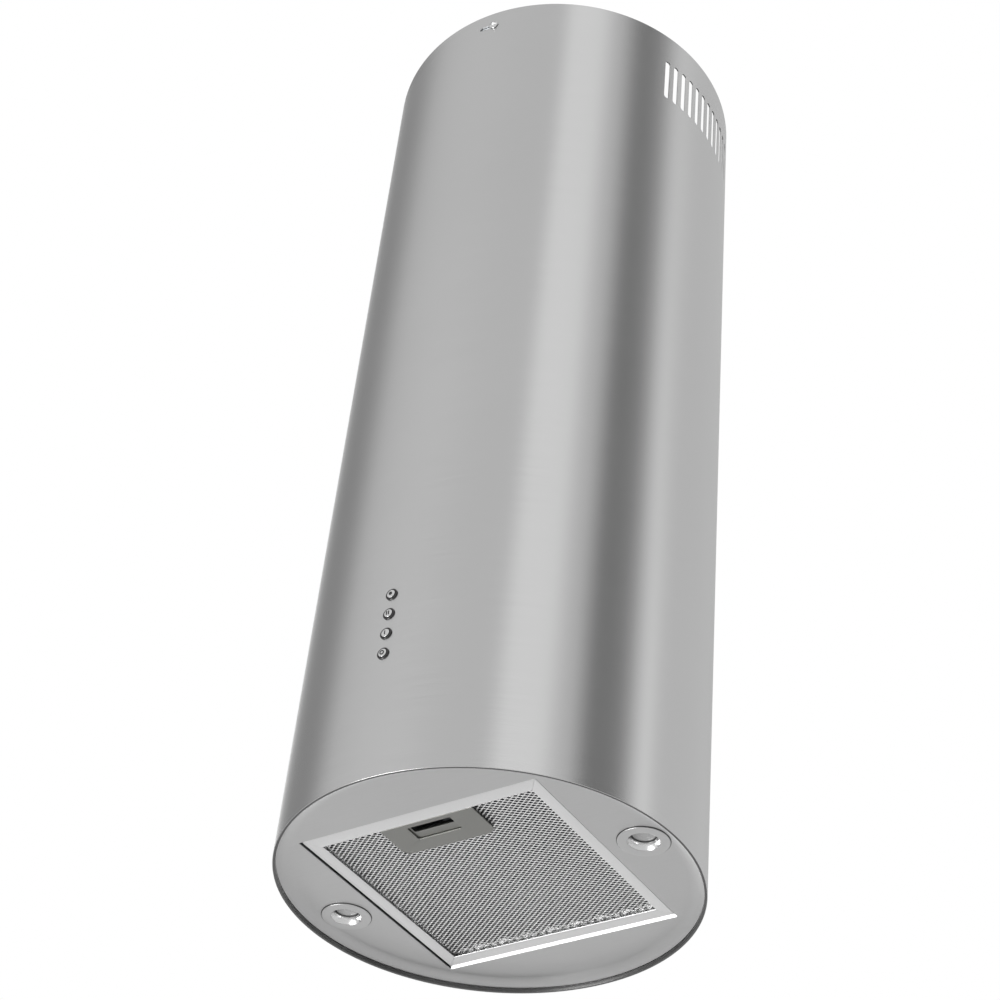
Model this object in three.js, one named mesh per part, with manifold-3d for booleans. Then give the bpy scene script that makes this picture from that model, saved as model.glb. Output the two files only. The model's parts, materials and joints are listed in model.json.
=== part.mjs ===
// Cylindrical island range hood, hung from the ceiling.
// Millimetres, +Z up. The origin is the middle of the ceiling bracket's top face and the
// push buttons face -Y. Heights named `up(...)` are measured from the casing's bottom rim.

import * as THREE from 'three';
import { mergeVertices } from 'three/addons/utils/BufferGeometryUtils.js';
import Module from 'manifold-3d';

const wasm = await Module();
wasm.setup();

// ---------------------------------------------------------------- driving dimensions

const GAP = 0.3;                       // clearance between pieces that touch

const CASING_RADIUS = 175;
const CASING_WALL = 1.2;
const CASING_HEIGHT = 928;
const CASING_INSIDE = CASING_RADIUS - CASING_WALL;
const HEM_HEIGHT = 3.7;
const BRACKET_SHEET = 2;
const RIM_Z = -(CASING_HEIGHT + BRACKET_SHEET);

const VENT_LENGTH = 56.5;
const VENT_WIDTH = 6;
const VENT_COUNT = 12;
const VENT_PITCH = 3.73;               // degrees of azimuth
const VENT_HEIGHT = 860.3;             // middle of the slots above the rim

const HANGING_AZIMUTH = 7.4;           // degrees, the front screw; the rear one is opposite
const HANGING_HEIGHT = 907.5;
const HANGING_SLOT_AZIMUTH = 5.65;
const HANGING_SLOT = { length: 21, width: 5.2 };
const SCREW_SHANK = 2.2;
const SCREW_HEAD = 4.75;

const PLATE_FACE = 8;                  // recess of the bottom plate above the rim
const PLATE_SHEET = 1;
const PLATE_EDGE = 4.2;                // the dished edge, where the flange folds up
const PLATE_EDGE_RADIUS = 24;
const PLATE_FLAT_RADIUS = 160;
const PLATE_RADIUS = 173;
const PLATE_FLANGE_TOP = 30;
const OPENING_HALF = 110.7;
const OPENING_REAR = 112.4;             // the rear edge, where the sheet slopes up to its flange
const OPENING_FLANGE_TOP = 13;

const LAMP_X = 142;
const LAMP_RING_RADIUS = 21;
const LAMP_HOLE_RADIUS = 19.6;

const BUTTON_LOWEST = 117;
const BUTTON_PITCH = 19.7;
const BUTTON_COUNT = 4;
const BEZEL_RADIUS = 5.35;
const CAP_RADIUS = 3.75;
const BUTTON_HOLE_RADIUS = 4.9;

const BOX_HALF = 118;
const BOX_SHEET = 1.2;
const BOX_BOTTOM = 11.2;                // clear of the plate
const BOX_TOP = 340;
const DUCT_RADIUS = 74;

const UPRIGHT_OUTSIDE = 107;
const UPRIGHT_LEG = 24;
const UPRIGHT_SHEET = 1.5;

const FILTER_HALF = 109.2;
const FILTER_FACE = 9.3;
const FILTER_DEPTH = 10;
const FILTER_BAR = 11;
const FILTER_FRONT_BAR = 14;
const MESH_BOTTOM = 10.8;
const MESH_TOP = 17;
const GROOVE_DEPTH = 4;

const LATCH_HALF_WIDTH = 43;
const LATCH_FRONT = -94.9;
const LATCH_REAR = -57;
const LATCH_SHEET_BOTTOM = 9.9;
const LATCH_SHEET = 1.2;
const POCKET = { halfWidth: 20.5, front: -90, rear: -72.5 };
const NOTCH_BOTTOM = 13.2;
const NOTCH_TOP = 15.6;

const FAN_Y = -18;
const FAN_HEIGHT = 165;
const IMPELLER_RADIUS = 66;
const IMPELLER_INSIDE = 50;
const IMPELLER_HALF_WIDTH = 42;
const BLADE_COUNT = 16;
const SHAFT_RADIUS = 4;
const HOUSING_HALF_WIDTH = 52;
const HOUSING_SHEET = 1.6;
const CUTOFF_ANGLE = 125;              // degrees from +Y towards +Z
const CUTOFF_RADIUS = 76;
const SCROLL_GROWTH = 0.062;           // per radian
const NECK_HALF_DEPTH = 53;
const NECK_TOP = BOX_TOP - BOX_SHEET - GAP;
const INLET_RADIUS = 54;

const GLAND_PLACE = [60, 103];         // x and y on the motor box's top

const COLLAR_WALL = 1.5;
const COLLAR_TOP = 400;
const FLAP_PIN_HEIGHT = 359.5;
const FLAP_RADIUS = 72;

// ---------------------------------------------------------------- materials

const steel = (colour, roughness) =>
  new THREE.MeshStandardMaterial({ color: colour, roughness, metalness: 1 });
const plastic = (colour, roughness) =>
  new THREE.MeshStandardMaterial({ color: colour, roughness, metalness: 0 });

const BRUSHED_STEEL = steel(0xb4b5b4, 0.32);
const PLATE_STEEL = steel(0xa6a6a5, 0.42);
const CHROME = steel(0xdcdcdc, 0.08);
const GALVANISED = steel(0x9fa3a6, 0.5);
const ALUMINIUM = steel(0xcfcfcd, 0.4);
const LATCH_METAL = steel(0x77766f, 0.5);
const LAMP_GLASS = plastic(0xb9bbbb, 0.35);
const BLACK_PLASTIC = plastic(0x1d1e20, 0.5);
const GREY_PLASTIC = plastic(0x6c7074, 0.55);
const BOARD_GREEN = plastic(0x1f5a3a, 0.5);

// ---------------------------------------------------------------- shared tools

const up = (height) => RIM_Z + height;
const radians = THREE.MathUtils.degToRad;

/** Turns an inside-out geometry round, by the sign of its volume. */
function outward(geometry) {
  const place = geometry.attributes.position;
  const index = geometry.index.array;
  const [a, b, c] = [new THREE.Vector3(), new THREE.Vector3(), new THREE.Vector3()];
  let volume = 0;
  for (let i = 0; i < index.length; i += 3) {
    a.fromBufferAttribute(place, index[i]);
    b.fromBufferAttribute(place, index[i + 1]);
    c.fromBufferAttribute(place, index[i + 2]);
    volume += a.dot(b.cross(c));
  }
  if (volume < 0) {
    for (let i = 0; i < index.length; i += 3) {
      [index[i], index[i + 1]] = [index[i + 1], index[i]];
    }
  }
  return geometry;
}

/** A closed geometry as a solid that can be cut and joined. */
function solid(geometry) {
  const bare = geometry.clone();
  bare.deleteAttribute('normal');
  bare.deleteAttribute('uv');
  const merged = outward(mergeVertices(bare, 1e-3));
  const index = Uint32Array.from(merged.index.array);
  const kept = [];
  for (let i = 0; i < index.length; i += 3) {
    const [p, q, r] = index.subarray(i, i + 3);
    if (p !== q && q !== r && r !== p) kept.push(p, q, r);
  }
  return new wasm.Manifold(new wasm.Mesh({
    numProp: 3,
    vertProperties: Float32Array.from(merged.attributes.position.array),
    triVerts: Uint32Array.from(kept),
  }));
}

/** The geometry of a solid. */
function geometryOf(shape) {
  const made = shape.getMesh();
  const geometry = new THREE.BufferGeometry();
  geometry.setAttribute('position', new THREE.Float32BufferAttribute(made.vertProperties, 3));
  geometry.setIndex(Array.from(made.triVerts));
  geometry.computeVertexNormals();
  return geometry;
}

/** The first geometry joined with the others. */
const join = (...parts) => geometryOf(parts.map(solid).reduce((whole, part) => whole.add(part)));

/** The base geometry with the tools cut away. */
const cut = (base, ...tools) =>
  geometryOf(tools.map(solid).reduce((whole, tool) => whole.subtract(tool), solid(base)));

/** A block between two opposite corners. */
function block(low, high) {
  const size = high.map((value, axis) => value - low[axis]);
  const middle = high.map((value, axis) => (value + low[axis]) / 2);
  return new THREE.BoxGeometry(...size).translate(...middle);
}

/** A round rod along +Z from z = start to z = end. */
const rod = (radius, start, end, sides = 24) =>
  new THREE.CylinderGeometry(radius, radius, end - start, sides)
    .rotateX(Math.PI / 2)
    .translate(0, 0, (start + end) / 2);

/** A turned piece about Z from [radius, z] points. A profile off the axis closes on itself. */
function turned(profile, sides = 32) {
  const points = profile.map(([radius, z]) => new THREE.Vector2(radius, z));
  const onAxis = profile[0][0] === 0 && profile.at(-1)[0] === 0;
  if (!onAxis) points.push(points[0].clone());
  return new THREE.LatheGeometry(points, sides).rotateX(Math.PI / 2);
}

/** A flat outline of [x, y] points pushed along +Z from z = start to z = end. */
function pushed(outline, start, end) {
  const shape = new THREE.Shape(outline.map(([x, y]) => new THREE.Vector2(x, y)));
  return new THREE.ExtrudeGeometry(shape, { depth: end - start, bevelEnabled: false })
    .translate(0, 0, start);
}

/** Points on an arc, both ends included. */
function arc(centre, radius, from, to, steps) {
  return Array.from({ length: steps + 1 }, (_, i) => {
    const angle = radians(from + (to - from) * i / steps);
    return [centre[0] + radius * Math.cos(angle), centre[1] + radius * Math.sin(angle)];
  });
}

/** Stands a piece made about +Z on the casing: +Z turns to point outwards at an azimuth. */
const outFrom = (geometry, azimuth, height = 0) =>
  geometry.rotateX(Math.PI / 2).translate(0, 0, up(height)).rotateZ(radians(azimuth));

/** Turns a piece made about +Z to lie about the fan's X axis. */
const onFanAxis = (geometry) =>
  geometry.rotateY(Math.PI / 2).translate(0, FAN_Y, up(FAN_HEIGHT));

/** A slot with round ends, length along Y, pushed along +Z. */
function slotTool({ length, width }, start, end) {
  const steps = 3;
  const straight = (length - width) / 2;
  const outline = [
    ...arc([0, straight], width / 2, 0, 180, steps),
    ...arc([0, -straight], width / 2, 180, 360, steps),
  ];
  return pushed(outline, start, end);
}

const hood = new THREE.Group();

/** Adds one named piece to the hood. */
function piece(name, geometry, material) {
  const mesh = new THREE.Mesh(geometry, material);
  mesh.name = name;
  hood.add(mesh);
}

// ---------------------------------------------------------------- casing

function casingTube() {
  const sides = 72;
  const tube = turned([
    [CASING_RADIUS, up(0)],
    [CASING_RADIUS, up(CASING_HEIGHT)],
    [CASING_INSIDE, up(CASING_HEIGHT)],
    [CASING_INSIDE, up(HEM_HEIGHT)],
    [CASING_INSIDE - CASING_WALL, up(HEM_HEIGHT)],
    [CASING_INSIDE - CASING_WALL, up(0)],
  ], sides);
  const [from, to] = [CASING_RADIUS - 8, CASING_RADIUS + 4];
  const tools = [];
  for (const side of [90, 270]) {
    for (let i = 0; i < VENT_COUNT; i++) {
      const azimuth = side + (i - (VENT_COUNT - 1) / 2) * VENT_PITCH;
      const vent = slotTool({ length: VENT_LENGTH, width: VENT_WIDTH }, from, to);
      tools.push(outFrom(vent, azimuth, VENT_HEIGHT));
    }
  }
  for (const side of [0, 180]) {
    const slot = slotTool(HANGING_SLOT, from, to).rotateZ(Math.PI / 2);
    tools.push(outFrom(slot, side + HANGING_SLOT_AZIMUTH, HANGING_HEIGHT));
  }
  for (let i = 0; i < BUTTON_COUNT; i++) {
    const hole = rod(BUTTON_HOLE_RADIUS, from, to, 12);
    tools.push(outFrom(hole, 0, BUTTON_LOWEST + i * BUTTON_PITCH));
  }
  return cut(tube, ...tools);
}

function bottomPlate() {
  const edge = [PLATE_FLAT_RADIUS, PLATE_FACE - PLATE_EDGE_RADIUS];
  const profile = [
    [0, PLATE_FACE],
    ...arc(edge, PLATE_EDGE_RADIUS, 90, 60, 3),
    [PLATE_RADIUS, PLATE_EDGE],
    [PLATE_RADIUS, PLATE_FLANGE_TOP],
    [PLATE_RADIUS - PLATE_SHEET, PLATE_FLANGE_TOP],
    ...arc(edge, PLATE_EDGE_RADIUS + PLATE_SHEET, 61.3, 90, 3),
    [0, PLATE_FACE + PLATE_SHEET],
  ].map(([radius, height]) => [radius, up(height)]);
  const dish = cut(
    turned(profile, 60),
    block([-OPENING_HALF, -OPENING_HALF, up(0)], [OPENING_HALF, OPENING_REAR, up(20)]),
    rod(LAMP_HOLE_RADIUS, up(0), up(20), 20).translate(LAMP_X, 0, 0),
    rod(LAMP_HOLE_RADIUS, up(0), up(20), 20).translate(-LAMP_X, 0, 0),
  );
  const front = block(
    [5 - OPENING_HALF, -OPENING_HALF - PLATE_SHEET, up(PLATE_FACE)],
    [OPENING_HALF - 5, -OPENING_HALF, up(OPENING_FLANGE_TOP)],
  );
  const slope = [
    [OPENING_REAR, 8], [OPENING_REAR + 1.5, 8], [OPENING_REAR + 1.5, 9], [OPENING_REAR + 0.5, 9],
    [110.9, 11.4], [110.9, OPENING_FLANGE_TOP], [109.9, OPENING_FLANGE_TOP], [109.9, 11],
  ];
  return join(dish, front, pushedAlongX(slope, OPENING_HALF - 0.5));
}

/** Z-shaped sheet foot that ties the plate's flange to the casing. */
function plateBracket(azimuth) {
  const halfWidth = 9;
  const profile = [
    [140, 9.3], [160, 9.3], [171.2, 22], [171.2, 58],
    [169.7, 58], [169.7, 22.6], [159.3, 10.8], [140, 10.8],
  ].map(([radius, height]) => [radius, up(height)]);
  return pushed(profile, -halfWidth, halfWidth)
    .rotateX(Math.PI / 2)
    .rotateZ(radians(azimuth - 90));
}

function addCasing() {
  piece('casing_tube', casingTube(), BRUSHED_STEEL);
  piece('bottom_plate', bottomPlate(), PLATE_STEEL);
  [30, 150, 210, 330].forEach((azimuth, i) => {
    piece(`plate_bracket_${i + 1}`, plateBracket(azimuth), GALVANISED);
  });
}

// ---------------------------------------------------------------- hanging frame

function ceilingBracket() {
  const sheet = [-BRACKET_SHEET, 0];
  const ringRadius = 112;
  const armHalf = 14;
  const tabOutside = 171.5;
  const tabBottom = -34;
  const parts = [rod(ringRadius, ...sheet, 40)];
  for (const [x, y] of [[1, 1], [1, -1], [-1, 1], [-1, -1]]) {
    const [near, far] = [60, UPRIGHT_OUTSIDE];
    const xs = [x * near, x * far].sort((a, b) => a - b);
    const ys = [y * near, y * far].sort((a, b) => a - b);
    parts.push(block([xs[0], ys[0], sheet[0]], [xs[1], ys[1], sheet[1]]));
  }
  const holes = [rod(80, -10, 10, 32)];
  for (const side of [0, 180]) {
    const turn = radians(side + HANGING_AZIMUTH);
    parts.push(block([-armHalf, -tabOutside, sheet[0]], [armHalf, -90, sheet[1]]).rotateZ(turn));
    const tab = block([-armHalf, -tabOutside, tabBottom], [armHalf, 2 - tabOutside, sheet[1]]);
    parts.push(tab.rotateZ(turn));
    const hole = rod(SCREW_SHANK + 0.5, 160, 180, 8);
    holes.push(outFrom(hole, side + HANGING_AZIMUTH, HANGING_HEIGHT));
  }
  for (const [x, y] of [[74, 74], [74, -74], [-74, 74], [-74, -74]]) {
    holes.push(rod(3.2, -10, 10, 8).translate(x, y, 0));
  }
  return cut(join(...parts), ...holes);
}

/** One L-angle upright in the quadrant given by the signs of x and y. */
function upright(x, y) {
  const [out, near] = [UPRIGHT_OUTSIDE, UPRIGHT_OUTSIDE - UPRIGHT_LEG];
  const inside = UPRIGHT_OUTSIDE - UPRIGHT_SHEET;
  const outline = [[near, out], [out, out], [out, near], [inside, near], [inside, inside], [near, inside]];
  const signed = outline.map(([a, b]) => [a * x, b * y]);
  return pushed(signed, up(BOX_TOP + GAP), -BRACKET_SHEET - GAP);
}

function hangingScrew(azimuth) {
  const seat = CASING_RADIUS + 0.35;
  const screw = turned([
    [0, 163], [SCREW_SHANK, 163], [SCREW_SHANK, seat], [SCREW_HEAD, seat],
    [SCREW_HEAD - 0.2, seat + 1.0], [SCREW_HEAD - 1.4, seat + 2.2], [0, seat + 2.7],
  ], 12);
  const recess = [seat + 1.4, seat + 4];
  const cross = [
    block([-2.6, -0.5, recess[0]], [2.6, 0.5, recess[1]]),
    block([-0.5, -2.6, recess[0]], [0.5, 2.6, recess[1]]),
  ];
  return outFrom(cut(screw, ...cross), azimuth, HANGING_HEIGHT);
}

function motorBox() {
  const inside = BOX_HALF - BOX_SHEET;
  return cut(
    block([-BOX_HALF, -BOX_HALF, up(BOX_BOTTOM)], [BOX_HALF, BOX_HALF, up(BOX_TOP)]),
    block([-inside, -inside, up(0)], [inside, inside, up(BOX_TOP - BOX_SHEET)]),
    rod(DUCT_RADIUS + 0.6, up(BOX_TOP - 20), up(BOX_TOP + 20), 32),
    rod(7.2, up(BOX_TOP - 20), up(BOX_TOP + 20), 12).translate(...GLAND_PLACE, 0),
  );
}

function addHangingFrame() {
  piece('ceiling_bracket', ceilingBracket(), GALVANISED);
  const corners = { front_left: [-1, -1], front_right: [1, -1], rear_left: [-1, 1], rear_right: [1, 1] };
  for (const [name, signs] of Object.entries(corners)) {
    piece(`upright_${name}`, upright(...signs), GALVANISED);
  }
  piece('hanging_screw_front', hangingScrew(HANGING_AZIMUTH), CHROME);
  piece('hanging_screw_rear', hangingScrew(HANGING_AZIMUTH + 180), CHROME);
  piece('motor_box', motorBox(), GALVANISED);
}

// ---------------------------------------------------------------- push buttons

function buttonCap(height) {
  const face = CASING_RADIUS + 1.3;
  return outFrom(turned([
    [0, 167.6], [2.4, 167.6], [2.4, 171], [CAP_RADIUS, 171], [CAP_RADIUS, face],
    [CAP_RADIUS - 0.6, face + 0.7], [0, face + 1.2],
  ], 12), 0, height);
}

function buttonBezel(height) {
  const face = CASING_RADIUS + GAP;
  return outFrom(turned([
    [4.1, 168.5], [4.6, 168.5], [4.6, face], [BEZEL_RADIUS, face],
    [BEZEL_RADIUS, face + 0.5], [BEZEL_RADIUS - 0.4, face + 1], [4.1, face + 1],
  ], 12), 0, height);
}

function switchBlock() {
  const pockets = Array.from({ length: BUTTON_COUNT }, (_, i) =>
    outFrom(rod(3, 162, 168, 10), 0, BUTTON_LOWEST + i * BUTTON_PITCH));
  return cut(block([-12, -165, up(108)], [12, -150.2, up(185)]), ...pockets);
}

function switchBracket() {
  return join(
    block([-24, -147.8, up(95)], [24, -146.3, up(198)]),
    block([-24, -171.5, up(95)], [-22.5, -146.3, up(198)]),
    block([22.5, -171.5, up(95)], [24, -146.3, up(198)]),
  );
}

function addButtons() {
  for (let i = 0; i < BUTTON_COUNT; i++) {
    const height = BUTTON_LOWEST + i * BUTTON_PITCH;
    piece(`button_cap_${i + 1}`, buttonCap(height), CHROME);
    piece(`button_bezel_${i + 1}`, buttonBezel(height), CHROME);
  }
  piece('switch_block', switchBlock(), BLACK_PLASTIC);
  piece('switch_board', block([-19, -149.9, up(100)], [19, -148.1, up(193)]), BOARD_GREEN);
  piece('switch_bracket', switchBracket(), GALVANISED);
}

// ---------------------------------------------------------------- lamps

function addLamps() {
  const raised = (profile) => profile.map(([radius, height]) => [radius, up(height)]);
  const ring = raised([
    [12.6, 6.9], [20.4, 6.9], [LAMP_RING_RADIUS, 7.2], [LAMP_RING_RADIUS, 7.7], [19.2, 7.7],
    [19.2, 18], [18.4, 18], [18.4, 7.7], [13.2, 7.7], [10.2, 13.4], [9.4, 13.4],
  ]);
  const lens = raised([[0, 13.7], [11, 13.7], [11, 15.2], [0, 15.2]]);
  const body = raised([
    [0, 15.5], [18, 15.5], [18, 18.4], [20, 18.4], [20, 24], [17, 24], [17, 28],
    [20, 28], [20, 33], [0, 33],
  ]);
  for (const [side, x] of [['left', -LAMP_X], ['right', LAMP_X]]) {
    piece(`lamp_ring_${side}`, turned(ring, 20).translate(x, 0, 0), CHROME);
    piece(`lamp_lens_${side}`, turned(lens, 16).translate(x, 0, 0), LAMP_GLASS);
    piece(`lamp_body_${side}`, turned(body, 16).translate(x, 0, 0), ALUMINIUM);
  }
}

// ---------------------------------------------------------------- grease filter

function filterFrame() {
  const top = FILTER_FACE + FILTER_DEPTH;
  const inside = FILTER_HALF - FILTER_BAR;
  const front = FILTER_FRONT_BAR - FILTER_HALF;
  const groove = GROOVE_DEPTH + GAP;
  const bars = cut(
    block([-FILTER_HALF, -FILTER_HALF, up(FILTER_FACE)], [FILTER_HALF, FILTER_HALF, up(top)]),
    block([-inside, front, up(0)], [inside, inside, up(30)]),
    block(
      [-inside - groove, front - groove, up(MESH_BOTTOM - GAP)],
      [inside + groove, inside + groove, up(MESH_TOP + GAP)],
    ),
    block([-16.3, -FILTER_HALF - 1, up(NOTCH_BOTTOM)], [16.3, front + 1, up(NOTCH_TOP + GAP)]),
  );
  const hook = (x) => block([x - 12, inside + 7, up(14.6)], [x + 12, FILTER_HALF + 5.1, up(16.4)]);
  return join(bars, hook(-70), hook(70));
}

function filterMesh() {
  const inside = FILTER_HALF - FILTER_BAR;
  const front = FILTER_FRONT_BAR - FILTER_HALF;
  const pad = block(
    [-inside - GROOVE_DEPTH, front - GROOVE_DEPTH, up(MESH_BOTTOM)],
    [inside + GROOVE_DEPTH, inside + GROOVE_DEPTH, up(MESH_TOP)],
  );
  const room = block([-46, -110, up(MESH_BOTTOM - 1)], [46, LATCH_REAR + 1, up(NOTCH_TOP)]);
  return cut(pad, room);
}

function latchPlate() {
  const corner = 5;
  const outline = [
    [-LATCH_HALF_WIDTH, LATCH_FRONT], [LATCH_HALF_WIDTH, LATCH_FRONT],
    [LATCH_HALF_WIDTH, LATCH_REAR - corner], [LATCH_HALF_WIDTH - corner, LATCH_REAR],
    [corner - LATCH_HALF_WIDTH, LATCH_REAR], [-LATCH_HALF_WIDTH, LATCH_REAR - corner],
  ];
  const sheet = pushed(outline, up(LATCH_SHEET_BOTTOM), up(LATCH_SHEET_BOTTOM + LATCH_SHEET));
  return cut(sheet, block(
    [-POCKET.halfWidth, POCKET.front, up(5)],
    [POCKET.halfWidth, POCKET.rear, up(15)],
  ));
}

function latchSlider() {
  const bottom = LATCH_SHEET_BOTTOM + LATCH_SHEET + GAP;
  const sheet = cut(
    block([-24, -93, up(bottom)], [24, -68, up(13)]),
    block([-18.5, -90, up(5)], [18.5, -81, up(20)]),
  );
  const grip = block([-18.5, -81, up(bottom)], [18.5, -73, up(14.8)]);
  const riser = block([-15, -93, up(bottom)], [15, -90.5, up(15.2)]);
  const tongue = block([-15, -114.3, up(13.6)], [15, -90.5, up(15.2)]);
  return join(sheet, grip, riser, tongue);
}

/** Compression spring along Y between the slider and the back of its seat. */
function latchSpring() {
  const [turns, stepsPerTurn] = [3, 10];
  const [start, end] = [-67.7, -58.2];
  const [coilRadius, wireRadius] = [1.4, 0.35];
  class Helix extends THREE.Curve {
    getPoint(t, target = new THREE.Vector3()) {
      const angle = 2 * Math.PI * turns * t;
      const [x, z] = [coilRadius * Math.cos(angle), coilRadius * Math.sin(angle)];
      return target.set(x, start + wireRadius + (end - start - 2 * wireRadius) * t, up(13.4) + z);
    }
  }
  const wire = new THREE.Shape(arc([0, 0], wireRadius, 0, 300, 5).map(([x, y]) => new THREE.Vector2(x, y)));
  return new THREE.ExtrudeGeometry(wire, { steps: turns * stepsPerTurn, extrudePath: new Helix() });
}

function addFilter() {
  piece('filter_frame', filterFrame(), ALUMINIUM);
  piece('filter_mesh', filterMesh(), ALUMINIUM);
  piece('latch_plate', latchPlate(), LATCH_METAL);
  piece('latch_slider', latchSlider(), LATCH_METAL);
  piece('latch_spring', geometryOf(solid(latchSpring())), CHROME);
}

// ---------------------------------------------------------------- blower

/** The scroll's outline in the Y-Z plane as [y, height], drawn `inset` inside the outside skin. */
function scrollOutline(inset, top) {
  const spiral = Array.from({ length: 25 }, (_, i) => {
    const turn = radians(360 - CUTOFF_ANGLE) * i / 24;
    const angle = radians(CUTOFF_ANGLE) + turn;
    const radius = CUTOFF_RADIUS * Math.exp(SCROLL_GROWTH * turn) - inset;
    return [FAN_Y + radius * Math.cos(angle), FAN_HEIGHT + radius * Math.sin(angle)];
  });
  const side = NECK_HALF_DEPTH - inset;
  const shoulder = 300;
  return [[side, top], [-side, top], [-side, shoulder], ...spiral, [side, shoulder]];
}

/** A Y-Z outline pushed along X between -half and +half. */
const pushedAlongX = (outline, half) =>
  pushed(outline.map(([y, height]) => [y, up(height)]), -half, half)
    .rotateX(Math.PI / 2)
    .rotateZ(Math.PI / 2);

function blowerHousing() {
  const shell = pushedAlongX(scrollOutline(0, NECK_TOP), HOUSING_HALF_WIDTH);
  const hollow = pushedAlongX(
    scrollOutline(HOUSING_SHEET, NECK_TOP + 10),
    HOUSING_HALF_WIDTH - HOUSING_SHEET,
  );
  const flange = block([-62, -63, up(NECK_TOP - 2)], [62, 63, up(NECK_TOP)]);
  const inlet = onFanAxis(rod(INLET_RADIUS, -60, 60, 28));
  return cut(join(shell, flange), hollow, inlet);
}

function inletRing(side) {
  const wall = HOUSING_HALF_WIDTH;
  const ring = turned([
    [51.6, wall - 3], [53.2, wall - 3], [53.2, wall + GAP], [62, wall + GAP],
    [62, wall + 1.9], [54.5, wall + 1.9], [51.6, wall + 0.8],
  ], 28);
  return onFanAxis(side < 0 ? ring.rotateX(Math.PI) : ring);
}

function impeller() {
  const half = IMPELLER_HALF_WIDTH;
  const inner = [IMPELLER_INSIDE + 0.5, 0];
  const middle = [58, -3.2];
  const outer = [IMPELLER_RADIUS - 0.5, 1.5];
  const edge = (stations, side) => stations.map(([radius, angle]) => {
    const [x, y] = [radius * Math.cos(radians(angle)), radius * Math.sin(radians(angle))];
    return [x, y + side * 0.6];
  });
  const section = [...edge([inner, middle, outer], -1), ...edge([outer, middle, inner], 1)];
  const blades = Array.from({ length: BLADE_COUNT }, (_, i) =>
    pushed(section, -half, half).rotateZ(2 * Math.PI * i / BLADE_COUNT));
  const ring = (from, to) => turned([
    [IMPELLER_INSIDE, from], [IMPELLER_RADIUS, from], [IMPELLER_RADIUS, to], [IMPELLER_INSIDE, to],
  ], 32);
  const bore = SHAFT_RADIUS + GAP;
  const disc = turned([
    [bore, -14], [11, -14], [11, -1], [IMPELLER_RADIUS, -1],
    [IMPELLER_RADIUS, 1], [11, 1], [11, 4], [bore, 4],
  ], 32);
  return onFanAxis(join(disc, ring(-half - 1, 1 - half), ring(half - 1, half + 1), ...blades));
}

function fanMotor() {
  const bore = SHAFT_RADIUS + 0.5;
  return onFanAxis(turned([
    [0, 32], [bore, 32], [bore, 6], [38, 6], [40, 8], [40, 60], [36, 66], [0, 66],
  ], 20));
}

function motorSpider() {
  const [from, to] = [HOUSING_HALF_WIDTH + 2.3, HOUSING_HALF_WIDTH + 4.8];
  const hub = turned([[40.9, from], [46, from], [46, to], [40.9, to]], 20);
  const arms = [90, 210, 330].flatMap((angle) => [
    block([43, -6, from], [70, 6, to]).rotateZ(radians(angle)),
    block([63.5, -6, HOUSING_HALF_WIDTH + GAP], [70, 6, to]).rotateZ(radians(angle)),
  ]);
  return onFanAxis(join(hub, ...arms));
}

function addBlower() {
  piece('blower_housing', blowerHousing(), GREY_PLASTIC);
  piece('inlet_ring_left', inletRing(-1), GREY_PLASTIC);
  piece('inlet_ring_right', inletRing(1), GREY_PLASTIC);
  piece('impeller', impeller(), BLACK_PLASTIC);
  piece('motor_shaft', onFanAxis(rod(SHAFT_RADIUS, -16, 30, 12)), CHROME);
  piece('fan_motor', fanMotor(), GALVANISED);
  piece('motor_spider', motorSpider(), GALVANISED);
}

// ---------------------------------------------------------------- outlet collar and flaps

function outletCollar() {
  const seat = BOX_TOP + GAP;
  const wall = DUCT_RADIUS + COLLAR_WALL;
  const tube = turned([
    [DUCT_RADIUS, seat], [86, seat], [86, seat + 1.5], [wall, seat + 1.5],
    [wall, COLLAR_TOP], [DUCT_RADIUS, COLLAR_TOP], [DUCT_RADIUS, 356], [69, 356],
    [69, 354.5], [DUCT_RADIUS, 354.5],
  ].map(([radius, height]) => [radius, up(height)]), 32);
  const pinHole = rod(2.5, -90, 90, 10).rotateX(Math.PI / 2).translate(0, 0, up(FLAP_PIN_HEIGHT));
  return cut(tube, pinHole);
}

/** One half-round flap; side is -1 for the left flap and +1 for the right one. */
function flap(side) {
  const [innerEdge, sheetBottom, sheetTop] = [3.6, 356.4, 357.4];
  const start = Math.acos(innerEdge / FLAP_RADIUS) * 180 / Math.PI;
  const outline = arc([0, 0], FLAP_RADIUS, -start, start, 16);
  const plate = pushed(outline, up(sheetBottom), up(sheetTop));
  const knuckles = side < 0 ? [[-58, -30], [1, 29]] : [[-29, -1], [30, 58]];
  const barrels = knuckles.flatMap(([from, to]) => [
    rod(3.2, from, to, 10).rotateX(-Math.PI / 2).translate(0, 0, up(FLAP_PIN_HEIGHT)),
    block([-1, from, up(sheetBottom)], [innerEdge + 1, to, up(sheetTop)]),
  ]);
  const bore = rod(2.45, -90, 90, 10).rotateX(Math.PI / 2).translate(0, 0, up(FLAP_PIN_HEIGHT));
  const turn = side < 0 ? Math.PI : 0;
  const leaf = join(plate.rotateZ(turn), ...barrels.map((part) => (side < 0 ? mirroredX(part) : part)));
  return cut(leaf, bore);
}

/** A copy mirrored in the plane x = 0. */
const mirroredX = (geometry) => geometry.clone().scale(-1, 1, 1);

function addOutlet() {
  piece('outlet_collar', outletCollar(), GREY_PLASTIC);
  piece('flap_left', flap(-1), GREY_PLASTIC);
  piece('flap_right', flap(1), GREY_PLASTIC);
  const pin = rod(2, -76.5, 76.5, 10).rotateX(Math.PI / 2).translate(0, 0, up(FLAP_PIN_HEIGHT));
  piece('flap_pin', pin, CHROME);
}

// ---------------------------------------------------------------- electrics

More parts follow.
